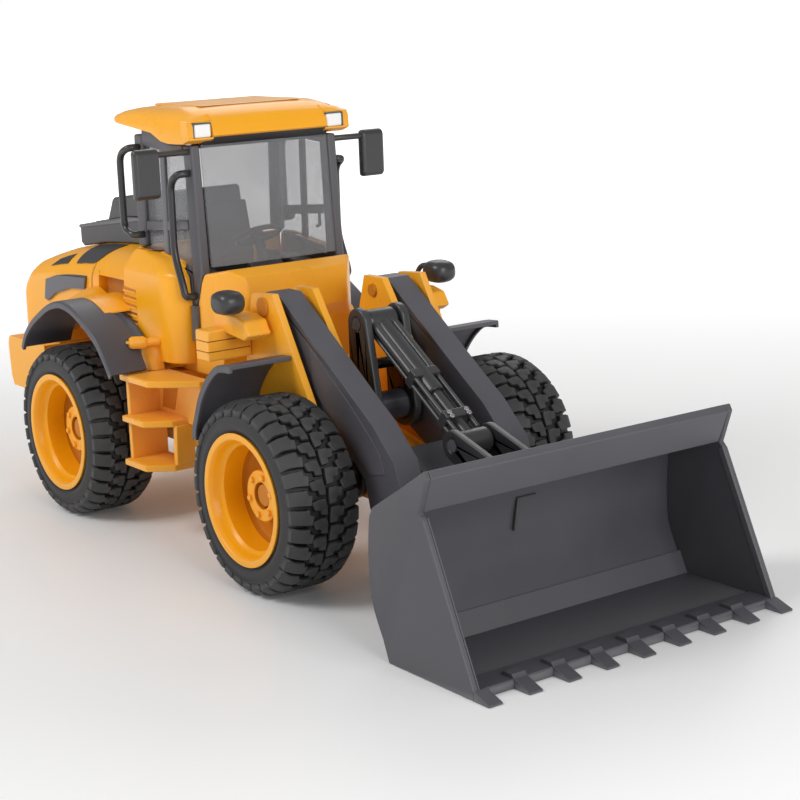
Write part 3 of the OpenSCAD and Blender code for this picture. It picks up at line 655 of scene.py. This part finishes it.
def fenders():
    for label, side in SIDES.items():
        web = prism_data([(-140.8, 95.4), (-131.5, 94), (-118, 88), (-106, 80), (-101, 74), (-118, 74), (-126, 80),
                          (-141, 80)], 45.6, 47.4)
        piece(f"rear_fender_{label}_shell", *sided(merge(rear_guard_data(), web), side), DARK,
              replaces=[f"rear_fender_{label}"], bevel=0.3)
        piece(f"wheel_flare_{label}", *sided(flare_data(), side), YELLOW, bevel=0.3)
        front = fender_data(FRONT_FENDER, 37.6, 65.9, -1.8, -3.0)
        piece(f"front_fender_{label}_shell", *sided(front, side), DARK, "front_chassis",
              replaces=[f"front_fender_{label}"], bevel=0.4)


hood()
hood_panels()
counterweight()
intake()
fenders()


def slab_data(plan, z0, z1):
    """A flat plate from a plan outline of (x, y) points."""
    return between([at(x, y, z0) for x, y in plan], [at(x, y, z1) for x, y in plan])


def ladders():
    x0, y0, y1 = -106, 42, 62
    step = [(x0, y0), (-80, y0), (-80, 52), (-88, y1), (x0, y1)]
    top = [(x0, y0), (-66, y0), (-66, 46), (-82, y1), (x0, y1)]
    for label, side in SIDES.items():
        parts = [slab_data(step, 31, 33.7), slab_data(step, 50, 52.7), slab_data(top, 68, 70.8)]
        parts.append(block_data(x0 + 0.4, y0, 31.4, x0 + 2.8, y1 - 2.6, 70.5))
        parts.append(prism_data([(-83, 31.4), (-80.2, 31.4), (-79, 50.5), (-82, 50.5)], y0, y0 + 9))
        parts.append(block_data(x0 + 2, y0, 50.4, -68.4, y0 + 2.8, 70.4))
        piece(f"ladder_{label}_frame", *sided(merge(*parts), side), YELLOW, replaces=[f"ladder_{label}"], bevel=0.5)
        # The step's recess is in the darker yellow: painted shade.
        recess = [(-100.6, 54.6), (-90.5, 54.6), (-86, 66.4), (-98.6, 66.4)]
        flank("ladder_{}_recess", side, recess, y0 + 2.6, y0 + 3.1, YELLOW_PAINTED_SHADE, bevel=0.2)
        rims = [slab_data([(x + (0.9 if x == x0 else -0.9), y0 + (y - y0) * 0.95) for x, y in plan], z, z + 0.35)
                for plan, z in ((step, 33.5), (step, 52.5), (top, 70.6))]
        piece(f"ladder_{label}_treads", *sided(merge(*rims), side), YELLOW, bevel=0.15)


ladders()


def side_tanks():
    """The yellow bodies beside the cab: rounded front corner, louvres at the rear, foot on the ladder."""
    rear_line = [(71.4, -120), (80.5, -130.6), (104, -129.5), (119, -127.4), (119.6, -126)]
    front_line = [(71.4, -88), (75, -85), (100, -85), (111, -86.5), (116.5, -92), (119.6, -109)]
    for label, side in SIDES.items():
        rings = []
        for z in (71.4, 74.2, 74.5, 75.4, 80.5, 88, 96, 100, 104, 108, 111, 112.4, 114.4, 116.5, 118.4, 119.6):
            rear, front = interp(rear_line, z), interp(front_line, z)
            r = 13.0
            out = 44.8 - max(0, z - 112) * 0.75
            if z < 74.4:
                rear, front, out = rear + 4, front - 6, out - 4
            plan = [(rear, 36.2), (rear, out - 0.5), (rear + 0.6, out)]
            plan += [(front - r + r * math.sin(t), out - 7.4 * (1 - math.cos(t)))
                     for t in (math.radians(10 * i) for i in range(10))]
            plan += [(front, 36.2)]
            rings.append([at(x, y, z) for x, y in plan])
        piece(f"side_tank_{label}_shell", *sided(ring_data(rings), side), YELLOW, replaces=[f"side_tank_{label}"],
              bevel=0.7, sharp=35)
        for k in range(6):
            z = 85.4 + 3.4 * k
            slot = [(-129.4, z), (-118.4, z - 0.4), (-118.4, z + 0.7), (-129.4, z + 1.3)]
            # The slots are darker yellow strips, the lower three darker still: painted shade inside the louvres.
            painted_slot_shade = YELLOW_DARK_PAINTED_SHADE if k < 3 else YELLOW_PAINTED_SHADE
            flank(f"tank_louvre_{label}_{k}", side, slot, 44.2, 44.95, painted_slot_shade, bevel=0.15)
            lip = [(-129.4, z - 0.9), (-118.4, z - 1.3), (-118.4, z - 0.4), (-129.4, z)]
            flank(f"tank_lip_{label}_{k}", side, lip, 44.3, 45.3, YELLOW, bevel=0.2)
        foot = []
        for z, long, out in ((71.1, 5.6, 50.6), (76, 5.5, 50.6), (79.6, 5, 49.8), (82.4, 3.8, 47.8), (84, 2.4, 44.6)):
            foot.append([at(-104 - (z - 71) * 0.2 + long * math.cos(t), 44 + (out - 44) * math.sin(t) ** 0.6, z)
                         for t in (math.pi * i / 12 for i in range(13))])
        piece(f"tank_foot_{label}", *sided(ring_data(foot), side), YELLOW, bevel=0.3)
        knob = merge(rod_data(at(-100.6, side * 44.4, 82.8), at(-102.4, side * 50.5, 83), 1.7, 20),
                     rod_data(at(-102.2, side * 50, 83), at(-104.6, side * 57, 83.4), 2.7, 24, 0.25))
        grip = block_data(-106.6, 56.4, 82.8, -102.4, 57.6, 84)
        piece(f"filler_cap_{label}", *merge(knob, sided(grip, side)), YELLOW, bevel=0.3)


side_tanks()


# ---------- Cab ----------

def cab():
    keep_cad("cab_base", YELLOW, bevel=1.2)
    prism("cab_sill", [(-129, 98.1), (-85, 98.1), (-84.6, 99.2), (-129, 99.2)], -32.6, 32.6, BLACK, bevel=0.2)
    for label, side in SIDES.items():
        pillar = [(-83.9, 98.4), (-82.2, 98.4), (-76.6, 113.4), (-79.6, 165.6), (-86.4, 165.6), (-84.4, 113)]
        flank("front_pillar_{}", side, pillar, 31.6, 35.9, DARK, once="cab_pillars", bevel=1.1)
        rear = [(-129.9, 120.4), (-123.1, 120.4), (-121.1, 168.6), (-127.9, 168.6)]
        flank("rear_pillar_{}", side, rear, 31.6, 35.9, DARK, bevel=1.0)
        header = [(-121, 164), (-86.6, 161.2), (-86.7, 165.7), (-97, 165.8), (-105, 169.6), (-121.2, 171)]
        flank("door_header_{}", side, header, 33.2, 35.8, DARK, bevel=0.6)
        sill = [(-122.9, 98.4), (-84.5, 98.4), (-85, 112), (-95, 114.6), (-122.8, 120.3)]
        flank("door_panel_{}", side, sill, 34.6, 35.8, DARK, bevel=0.4)
        post = [(-107.5, 115), (-103.5, 115), (-102.5, 168), (-106.5, 168.6)]
        flank("door_post_{}", side, post, 34.2, 35.7, DARK, bevel=0.5)
        bar = [(-122, 127.4), (-86, 130.6), (-86, 134.6), (-122, 131.6)]
        flank("door_bar_{}", side, bar, 34.3, 35.6, DARK, bevel=0.5)
        # The pillar feet use the darker grey copy: painted shade.
        foot = [(-84.7, 84.2), (-79.6, 84.2), (-79.6, 99.4), (-84.2, 99.4)]
        flank("pillar_foot_{}", side, foot, 36.05, 37.6, DARK_GREY_PAINTED_SHADE, bevel=0.4)
        handle = tube_data([(-97, side * 35.6, 124), (-97, side * 37.4, 124), (-97, side * 37.4, 133),
                            (-97, side * 35.6, 133)], 0.7, 8, 3, 1)
        piece(f"door_handle_{label}", *handle, BLACK, bevel=0)


cab()


ROOF_LOW = [(-140.6, 173.6), (-122.8, 171.8), (-105.5, 170.1), (-97.5, 166.9), (-91.5, 166.2), (-86, 166.2),
            (-80, 166.3), (-73.7, 169.6)]
ROOF_TOP = [(-140.6, 175.4), (-138, 178), (-130, 179.8), (-112, 180.8), (-92, 180.7), (-83, 179.4), (-77, 176.8),
            (-74.2, 172.8), (-73.7, 170.2)]


def roof_ring(x, half, bottom, inner=0):
    """One cross-section of the roof, from inner to half on one side, or right across if inner is 0."""
    top = interp(ROOF_TOP, x)
    brow = max(bottom + 0.3, interp(ROOF_LOW, x) + (top - interp(ROOF_LOW, x)) * 0.45)
    right = [(half - 0.8, bottom), (half, bottom + 0.2), (half, brow), (half - 1.2, brow + (top - brow) * 0.45),
             (half - 4, brow + (top - brow) * 0.8), (half - 8.5, top - 0.3), (24, top), (10, top + 0.15)]
    if inner:
        right = [(max(y, inner), z) for y, z in right]
        return [at(x, y, z) for y, z in [(inner, bottom)] + right]
    return [at(x, y, z) for y, z in right + [(-y, z) for y, z in reversed(right)]]


def roof():
    """The roof: domed top with a raised panel, stepped lower edge, and a lamp in each front corner."""
    half, lamp_in, lamp_out, wall_x = 39.8, 28, 37, -79.6
    main, nose = [], []
    for x in (-140.6, -139.6, -138, -134, -128, -122.8, -114, -105.5, -101, -97.5, -94, -91.5, -87, -83, wall_x):
        h = min(half, half - 3.5 + math.sqrt(max(0, x + 140.6)) * 1.8)
        main.append(roof_ring(x, h, interp(ROOF_LOW, x)))
    piece("roof_shell", *ring_data(main), YELLOW, replaces=["cab_roof"], bevel=0.4, sharp=45)
    for x in (wall_x - 0.4, -78, -76.6, -75.2, -74.2, -73.7):
        top, low = interp(ROOF_TOP, x), interp(ROOF_LOW, x)
        brow = low + (top - low) * 0.5
        ring = [(lamp_in, low), (lamp_in, brow), (lamp_in, top - 0.3), (24, top), (10, top + 0.15)]
        nose.append([at(x, y, z) for y, z in ring + [(-y, z) for y, z in reversed(ring)]])
    piece("roof_nose", *ring_data(nose), YELLOW, bevel=0.4, sharp=45)
    for label, side in SIDES.items():
        cover = [roof_ring(x, half - k, 174.9, lamp_in - 0.4)
                 for x, k in ((wall_x - 0.4, 0), (-78, 0.2), (-76.2, 0.6))]
        lip = prism_data([(wall_x - 0.4, 166.6), (-77, 167.8), (-74.6, 169), (-74.8, 173.6), (-76, 175.6),
                          (wall_x - 0.4, 176.2)], lamp_out, half - 0.05)
        floor = prism_data([(wall_x - 0.4, 166.4), (-74.6, 168.2), (-74.4, 169), (wall_x - 0.4, 168)], lamp_in - 0.4,
                           half - 0.1)
        piece(f"roof_corner_{label}", *sided(merge(ring_data(cover), lip, floor), side), YELLOW, bevel=0.25)
        lamp = block_data(-79, 28.5, 168.9, -74.6, 36.4, 174.6)
        piece(f"roof_lamp_{label}", *sided(lamp, side), LAMP, replaces=["roof_lights"] if side > 0 else (), bevel=0.9)
        # The lamp frames use the darker grey copy: painted shade round the lamps.
        rim_parts = [block_data(-76.2, 28.2, 168.4, -74.8, 37, 169.1), block_data(-76.2, 28.2, 174.3, -74.9, 37, 175),
                     block_data(-76.2, 36.3, 168.4, -74.8, 37, 175)]
        piece(f"roof_lamp_frame_{label}", *sided(merge(*rim_parts), side), DARK_GREY_PAINTED_SHADE, bevel=0.2)
    panel = [(-128, 180.1), (-89, 180.7), (-91, 180.98), (-126, 180.98)]
    prism("roof_raised_panel", panel, -25, 25, YELLOW, bevel=0.12)
    # A black strip under the roof's front edge: the visor's painted shadow.
    prism("visor_painted_shadow", [(-88, 164.2), (-81.5, 164.2), (-78.6, 166.4), (-74.8, 168.8), (-75.6, 169.4),
                          (-80.4, 166.4), (-88, 166.4)], -30.8, 30.8, BLACK, bevel=0.2)


roof()


def glazing():
    screen = [(-76.4, 115.3), (-75, 115.3), (-78.6, 165.6), (-80, 165.6)]
    rings = []
    for t in [i / 12 for i in range(13)]:
        y = -31 + 62 * t
        bow = 1.0 * (1 - (y / 31) ** 2)
        rings.append([at(x + bow - 0.9, y, z) for x, z in screen])
    piece("windscreen_pane", *ring_data(rings), GLASS, replaces=["windscreen"], bevel=0.15)
    prism("rear_window", [(-129, 120.6), (-127.6, 120.6), (-124.6, 170.6), (-126, 170.6)], -31, 31, GLASS,
          replaces=["cab_glass"], bevel=0.2)
    for label, side in SIDES.items():
        pane = [(-122, 119.8), (-95, 114.4), (-85.2, 112.6), (-87, 161), (-121, 163.8)]
        flank("side_window_{}", side, pane, 33.1, 34.2, GLASS, bevel=0.15)


glazing()


def interior():
    cushion = [(-113, 98.4), (-92.4, 98.4), (-90.6, 101), (-91, 107.6), (-93.5, 109.4), (-108, 108.6), (-112, 109.6)]
    prism("seat_cushion", cushion, -10.9, 10.9, SEAT, replaces=["seat"], bevel=1.6)
    back = smooth_path([(-111.4, 108.6), (-110.6, 116), (-112.6, 126), (-115.2, 137)], 4)
    rest = smooth_path([(-121.8, 137), (-118.6, 126), (-116.6, 114), (-115.8, 99)], 4)
    prism("seat_back", back + rest, -10.9, 10.9, SEAT, bevel=1.8)
    head = [(-115.3, 136.4), (-116, 142.6), (-117, 143.9), (-119.2, 143.9), (-120.7, 142.4), (-121.4, 136.4)]
    prism("seat_head_rest", head, -8.9, 8.9, SEAT, bevel=1.4)
    for label, side in SIDES.items():
        arm = [(-110, 110.5), (-94.6, 112.4), (-93.8, 115), (-95.5, 116.4), (-110.4, 115)]
        flank("seat_arm_{}", side, arm, 11.4, 14.4, BLACK, bevel=1.0)
        box = [(-106, 98.3), (-85.5, 98.3), (-85.5, 104), (-91, 111), (-106, 113)]
        flank("side_console_{}", side, box, 19, 29, DARK, bevel=1.2)
    pedestal = [(-92.8, 98.3), (-83, 98.3), (-81.2, 106), (-80.7, 112), (-85, 115), (-89, 110)]
    prism("steering_pedestal", pedestal, -8, 8, DARK, replaces=["steering_column"], bevel=1.2)
    hub = at(-89.6, 0, 124.5)
    tilt = Matrix.Rotation(math.radians(-25), 4, "Y")
    down = tilt @ Vector((0, 0, -1))
    piece("steering_shaft", *rod_data(hub + down * 0.9 * MM, hub + down * 12 * MM, 2.2), BLACK, bevel=0)
    ring_r, wire = 10, 1.15
    rings = []
    for a in turns(40) + [2 * math.pi]:
        reach = [ring_r + wire * math.cos(b) for b in turns(10)]
        rings.append([hub + tilt @ Vector((d * math.cos(a) * MM, d * math.sin(a) * MM, wire * math.sin(b) * MM))
                      for d, b in zip(reach, turns(10))])
    parts = [ring_data(rings, capped=False), rod_data(hub + down * 0.5 * MM, hub - down * 1.1 * MM, 3)]
    for a in (90, 210, 330):
        reach = tilt @ Vector((math.cos(math.radians(a)), math.sin(math.radians(a)), 0)) * 9.4 * MM
        parts.append(rod_data(hub, hub + reach, 0.8, 8))
    piece("steering_wheel_rim", *merge(*parts), BLACK, replaces=["steering_wheel"], bevel=0)


interior()


def rails_and_mirrors():
    r = 1.55
    for label, side in SIDES.items():
        y, inner = 41.3 * side, 36.2 * side
        front = [(-82.2, inner, 154.4), (-82.8, y, 154.4), (-88.4, y, 150.4), (-88.8, y, 121), (-82.8, y, 107.4),
                 (-81.8, y, 103.4), (-81.8, inner, 103.4)]
        rear = [(-123.4, inner, 163.2), (-124, y, 163.2), (-131.4, y, 160), (-131.4, y, 128), (-124, y, 125.8),
                (-123.6, inner, 125.8)]
        piece(f"front_rail_{label}", *tube_data(front, r), BLACK, replaces=["handrails"] if side > 0 else (), bevel=0)
        piece(f"rear_rail_{label}", *tube_data(rear, r), BLACK, bevel=0)
        bend = [(-82, 36 * side, 163.2), (-82, 53.6 * side, 163.2), (-82.4, 53.8 * side, 158)]
        arm = tube_data(bend, 1.3, 12, 5, 3)
        shell = [(-84, 145.4), (-80.4, 145.4), (-79.6, 147.4), (-79.6, 163.4), (-80.6, 165.8), (-83.4, 165.8),
                 (-84, 164.4)]
        flank("mirror_{}_housing", side, shell, 50.2, 61.8, BLACK, once="mirrors", bevel=1.5)
        piece(f"mirror_{label}_arm", *arm, BLACK, bevel=0)
        face = block_data(-84.1, 51.4, 147.4, -83.8, 60.6, 163.6)
        piece(f"mirror_{label}_face", *sided(face, side), LENS, bevel=0.1)


rails_and_mirrors()


# ---------- Front chassis ----------

def front_end():
    for name, bevel in (("front_frame", 0.8), ("boom_tower_left", 0.6), ("boom_tower_right", 0.6),
                        ("rear_frame", 0.8)):
        keep_cad(name, YELLOW, bevel)
    for label, side in SIDES.items():
        plate = [(-46, 96), (-24, 93.6), (-19.6, 96), (-23, 101.4), (-30, 103), (-46, 103)]
        body = sided(prism_data(plate, 38.9, 49.3), side)
        root = sided(prism_data([(-44, 97), (-24, 94.2), (-21, 96.6), (-26, 98.5), (-42, 100)], 37.6, 39.5), side)
        deck = sided(block_data(-46.8, 37.6, 84.6, -37.2, 57.8, 96.9), side)
        # The deck's two lines are strips of the darker yellow: painted shade in the grooves.
        lines = [sided(block_data(-46.85, 38.4, z, -37.15, 57.85, z + 0.4), side) for z in (88.3, 92.5)]
        piece(f"deck_line_{label}", *merge(*lines), YELLOW_PAINTED_SHADE, "front_chassis", bevel=0)
        piece(f"lamp_bracket_{label}", *merge(body, root, deck), YELLOW, "front_chassis",
              replaces=["headlight_brackets"] if side > 0 else (), bevel=0.8)
        rings = []
        for y, k in ((46.2, 0.35), (46.8, 0.66), (48, 0.87), (49.8, 0.98), (52, 1), (54.4, 0.96), (56.1, 0.84),
                     (57, 0.62), (57.4, 0.35)):
            rings.append([at(-30 + 7 * k * math.copysign(abs(math.cos(t)) ** 0.75, math.cos(t)), side * y,
                             108.6 + 4.8 * k * math.copysign(abs(math.sin(t)) ** 0.8, math.sin(t)))
                          for t in turns(32)])
        piece(f"headlight_{label}_housing", *ring_data(rings), BLACK, "front_chassis",
              replaces=["headlights"] if side > 0 else (), bevel=0)
        stalk = tube_data([(-38, 46 * side, 100), (-40, 46 * side, 104), (-38, 48.4 * side, 111),
                           (-33, 50 * side, 111)], 1.1, 12, 5, 3)
        piece(f"headlight_{label}_stalk", *stalk, BLACK, "front_chassis", bevel=0)
    for name in ("front_axle_housing", "rear_axle_housing"):
        keep_cad(name, BLACK, 0.5)
    # The boom pivot pins take the darker yellow and the crank pin the darker grey copy: painted shade.
    for name, material in (("steering_pin", STEEL), ("boom_pivot_pins", YELLOW_PAINTED_SHADE), ("lift_base_pins", STEEL),
                           ("lift_end_pins", DARK), ("crank_pin", DARK_GREY_PAINTED_SHADE), ("bucket_pins", DARK)):
        keep_cad(name, material, 0.2)
    for axle, body in (("front", "front_chassis"), ("rear", "rear_chassis")):
        axis = FRONT if axle == "front" else REAR
        ends = [Vector((axis[0], side * 57.6 * MM, axis[2])) for side in (-1, 1)]
        piece(f"{axle}_axle_rod", *rod_data(ends[0], ends[1], 2.95, 32), STEEL, body,
              replaces=[f"{axle}_axle_shaft"], bevel=0)
        # The axle ends are caps of the darker yellow: painted shade in the hub's hollow.
        caps = [rod_data(end, end + Vector((0, math.copysign(1.1 * MM, end.y), 0)), 4.4, 32) for end in ends]
        piece(f"{axle}_axle_caps", *merge(*caps), YELLOW_PAINTED_SHADE, body, bevel=0)


front_end()


# ---------- Boom and linkage ----------

def boom():
    for label in SIDES:
        keep_cad(f"boom_arm_{label}", DARK, 0.7)
        keep_cad(f"lift_barrel_{label}", BLACK, 0.3)
        keep_cad(f"lift_rod_{label}", STEEL, 0.15)
    keep_cad("boom_cross_tube", DARK, 0.5)
    # The bell crank and bucket brackets, dark grey parts, are given the black plastic: painted shade.
    keep_cad("bell_crank", BLACK, 0.7)
    keep_cad("bucket_brackets", BLACK, 0.6)
    prism("boom_cross_plate", [(22, 50), (26, 53), (50, 38), (48, 33)], -20.9, 20.9, DARK, "boom", bevel=0.5)
    for side in SIDES.values():
        inset = [(-3, 91.4), (4.5, 86.2), (22, 73.4), (34, 63.4), (40.6, 57), (43.6, 49.6), (33.6, 47.6), (23, 56.4),
                 (8.4, 67), (-2.4, 75)]
        flank("arm_panel_{}", side, inset, 31.95, 32.35, DARK, "boom", bevel=0.15)


def tilt_link():
    low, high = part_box("crank_pin")
    top = Vector(((low[0] + high[0]) / 2, 0, (low[2] + high[2]) / 2))
    end = at(56, 0, 59)
    along = (end - top).normalized()
    lift = Vector((0, 1, 0)).cross(along).normalized() * -1
    length = (end - top).length / MM

    def spot(s, y, h):
        return top + along * s * MM + Vector((0, y * MM, 0)) + lift * h * MM

    parts = [rod_data(spot(0, -6.7, 0), spot(0, 6.7, 0), 4.9, 28),
             rod_data(spot(length, -6.7, 0), spot(length, 6.7, 0), 4.9, 28),
             rod_data(spot(3, 0, 0), spot(length * 0.62, 0, 0), 3.9, 28),
             rod_data(spot(length * 0.6, 0, 0), spot(length - 3, 0, 0), 2.4, 24)]
    piece("tilt_cylinder", *merge(*parts), BLACK, "link", replaces=["tilt_link"], bevel=0.2)
    rails = []
    for y in (-5.2, 5.2):
        rails.append(rod_data(spot(1.5, y * 0.94, 1.6), spot(length * 0.46, y * 0.94, 1.6), 1.7, 16))
        rails.append(rod_data(spot(length * 0.3, y, 1.8), spot(length - 5, y, 1.8), 0.9, 12))
        rails.append(rod_data(spot(2.5, y, -1.8), spot(length - 5, y, -1.8), 0.9, 12))
    piece("tilt_link_rails", *merge(*rails), BLACK, "link", bevel=0)
    clamps = []
    for s in (length * 0.45, length - 15):
        corner = [spot(s + a, y, h) for a in (0, 4.2)
                  for y, h in ((-6.2, -3.6), (6.2, -3.6), (6.2, 3.6), (-6.2, 3.6))]
        clamps.append((corner, BOX_FACES))
    piece("tilt_link_clamps", *merge(*clamps), BLACK, "link", bevel=0.5)
    screws = [bolt_data(spot(s, y, 3.5), lift, 1.1, 0.9) for s in (length - 13, length - 11) for y in (-4, 4)]
    piece("tilt_link_screws", *merge(*screws), STEEL, "link", bevel=0)


boom()
tilt_link()


# ---------- Bucket ----------

OUTER = [(143, 0), (96.3, 0), (93.2, 7.8), (87.3, 20.6), (86.3, 34.9), (87.5, 49.5), (90, 54.5), (106.7, 64.5),
         (119.5, 72.5)]
INNER = [(121, 70), (116, 57.5), (107, 61.8), (91.8, 52.6), (89.9, 48.6), (88.8, 34.9), (89.7, 21.4), (95.2, 9.2),
         (98.2, 2.9), (143, 2.9)]


def bucket():
    half, wall = 71, 2.4
    back = OUTER[:2] + smooth_path(OUTER[2:7], 4) + OUTER[7:]
    shell = back + INNER[:2] + smooth_path(INNER[2:9], 4) + INNER[9:]
    prism("bucket_shell_plate", shell, -half + wall, half - wall, DARK, "bucket", replaces=["bucket_shell"],
          bevel=0.4, sharp=28)
    cheek = back + [(121, 70), (116.5, 57.5), (118.5, 55.5), (143, 2.9)]
    edge = [(143.1, 3.2), (118.3, 56.2), (116.2, 55.2), (140.6, 2.9)]
    for side in SIDES.values():
        flank("bucket_side_{}", side, cheek, half - wall, half - 0.05, DARK, "bucket", once="bucket_sides",
              bevel=0.5, sharp=28)
        flank("bucket_side_edge_{}", side, edge, half - wall - 0.5, half - wall + 0.1, DARK, "bucket", bevel=0.15)
    prism("bucket_floor_band", [(94.6, 10.6), (95.6, 11), (99.6, 2.9), (98.2, 2.9)], -half + wall, half - wall, DARK,
          "bucket", bevel=0.1)
    # Thin black plates stand for the slit in the back wall: painted shade in its opening.
    slit = [at(89.3, y, z) for y, z in ((-7.2, 45.4), (-6.2, 45.4), (-8.6, 33.4), (-9.2, 33.4))]
    slit += [v + Vector((1.2 * MM, 0, 0)) for v in slit]
    piece("bucket_slit", slit, BOX_FACES, BLACK, "bucket", bevel=0)
    hook = block_data(89.3, -6.6, 45, 90.2, 1.8, 45.5)
    piece("bucket_slit_top", *hook, BLACK, "bucket", bevel=0)
    prism("cutting_edge", [(131, 2.8), (143, 2.8), (142.6, 3.4), (132, 3.5)], -half + wall, half - wall, DARK,
          "bucket", bevel=0.15)
    parts = []
    teeth, width = 9, 6
    pitch = (2 * half - width) / (teeth - 1)
    for i in range(teeth):
        y0 = -half + i * pitch
        inner = abs(y0 + width / 2) < half - wall - width / 2
        parts.append(tooth(y0 + 0.05, width - 0.1, 135.6 if inner else 142.9))
    piece("bucket_teeth_row", *merge(*parts), DARK, "bucket", replaces=["bucket_teeth"], bevel=0.25)


def tooth(y0, width, rear):
    """A tooth standing out ahead of the cutting edge; the inner teeth also strap back over it."""
    outline = [(143, 0.05), (150.9, 0.05), (150.9, 0.8), (143, 3.5)]
    if rear < 140:
        outline += [(142, 4.9), (137.4, 4.9), (135.6, 3.0), (143, 3.0)]
    return prism_data(outline, y0, y0 + width)


bucket()


# ---------- Floor, lights and camera ----------

def stage():
    size = 40
    mesh = bpy.data.meshes.new("floor")
    mesh.from_pydata([(-size, -size, 0), (size, -size, 0), (size, size, 0), (-size, size, 0)], [], [(0, 1, 2, 3)])
    floor = add_object("floor", mesh)
    mat, tree, shader, link = new_material("floor")
    shader.inputs["Base Color"].default_value = (0.93, 0.93, 0.93, 1)
    shader.inputs["Roughness"].default_value = 0.45
    spot = node(tree, "ShaderNodeTexCoord")
    # The floor glows more with distance from the machine: painted light far off, painted shade close around it.
    reach = node(tree, "ShaderNodeVectorMath", operation="LENGTH")
    painted_floor_glow = node(tree, "ShaderNodeMapRange", **{"From Min": 0.2, "From Max": 1.3, "To Min": 0.03, "To Max": 1.0})
    link(spot.outputs["Object"], reach.inputs[0])
    link(reach.outputs["Value"], painted_floor_glow.inputs["Value"])
    shader.inputs["Emission Color"].default_value = (1, 1, 1, 1)
    link(painted_floor_glow.outputs["Result"], shader.inputs["Emission Strength"])
    floor.data.materials.append(mat)
    world = bpy.data.worlds.new("studio")
    world.use_nodes = True
    backdrop = world.node_tree.nodes["Background"]
    backdrop.inputs["Color"].default_value = (1, 1, 1, 1)
    seen = node(world.node_tree, "ShaderNodeLightPath")
    strength = node(world.node_tree, "ShaderNodeMapRange", **{"To Min": 0.36, "To Max": 1.0})
    world.node_tree.links.new(seen.outputs["Is Camera Ray"], strength.inputs["Value"])
    world.node_tree.links.new(strength.outputs["Result"], backdrop.inputs["Strength"])
    bpy.context.scene.world = world
    bpy.context.scene.view_settings.view_transform = "Standard"


def area_light(name, place, target, size, power):
    data = bpy.data.lights.new(name, "AREA")
    data.size = size
    data.energy = power
    lamp = add_object(name, data)
    lamp.location = place
    lamp.rotation_euler = (Vector(target) - Vector(place)).to_track_quat("-Z", "Y").to_euler()


def camera():
    """The view from the right front, seen a little from above, level with the cab."""
    data = bpy.data.cameras.new("camera")
    data.lens = 84.43
    data.sensor_width = 36
    data.clip_start = 0.01
    cam = add_object("camera", data)
    right = Vector((0.59183, 0.80524, -0.03637))
    up = Vector((-0.15459, 0.15766, 0.97532))
    back = right.cross(up).normalized()
    up = back.cross(right).normalized()
    cam.matrix_world = Matrix(((right.x, up.x, back.x, 0), (right.y, up.y, back.y, 0), (right.z, up.z, back.z, 0),
                               (0, 0, 0, 1)))
    cam.location = at(594.0, -421.7, 228.4)
    bpy.context.scene.camera = cam


stage()
area_light("key", (-0.25, -0.9, 0.95), (0, 0, 0.06), 0.5, 7)
area_light("front", (1.3, -0.05, 0.55), (0, 0, 0.07), 0.7, 8)
area_light("back", (-0.9, 0.8, 0.9), (0, 0, 0.08), 0.8, 3.5)
camera()
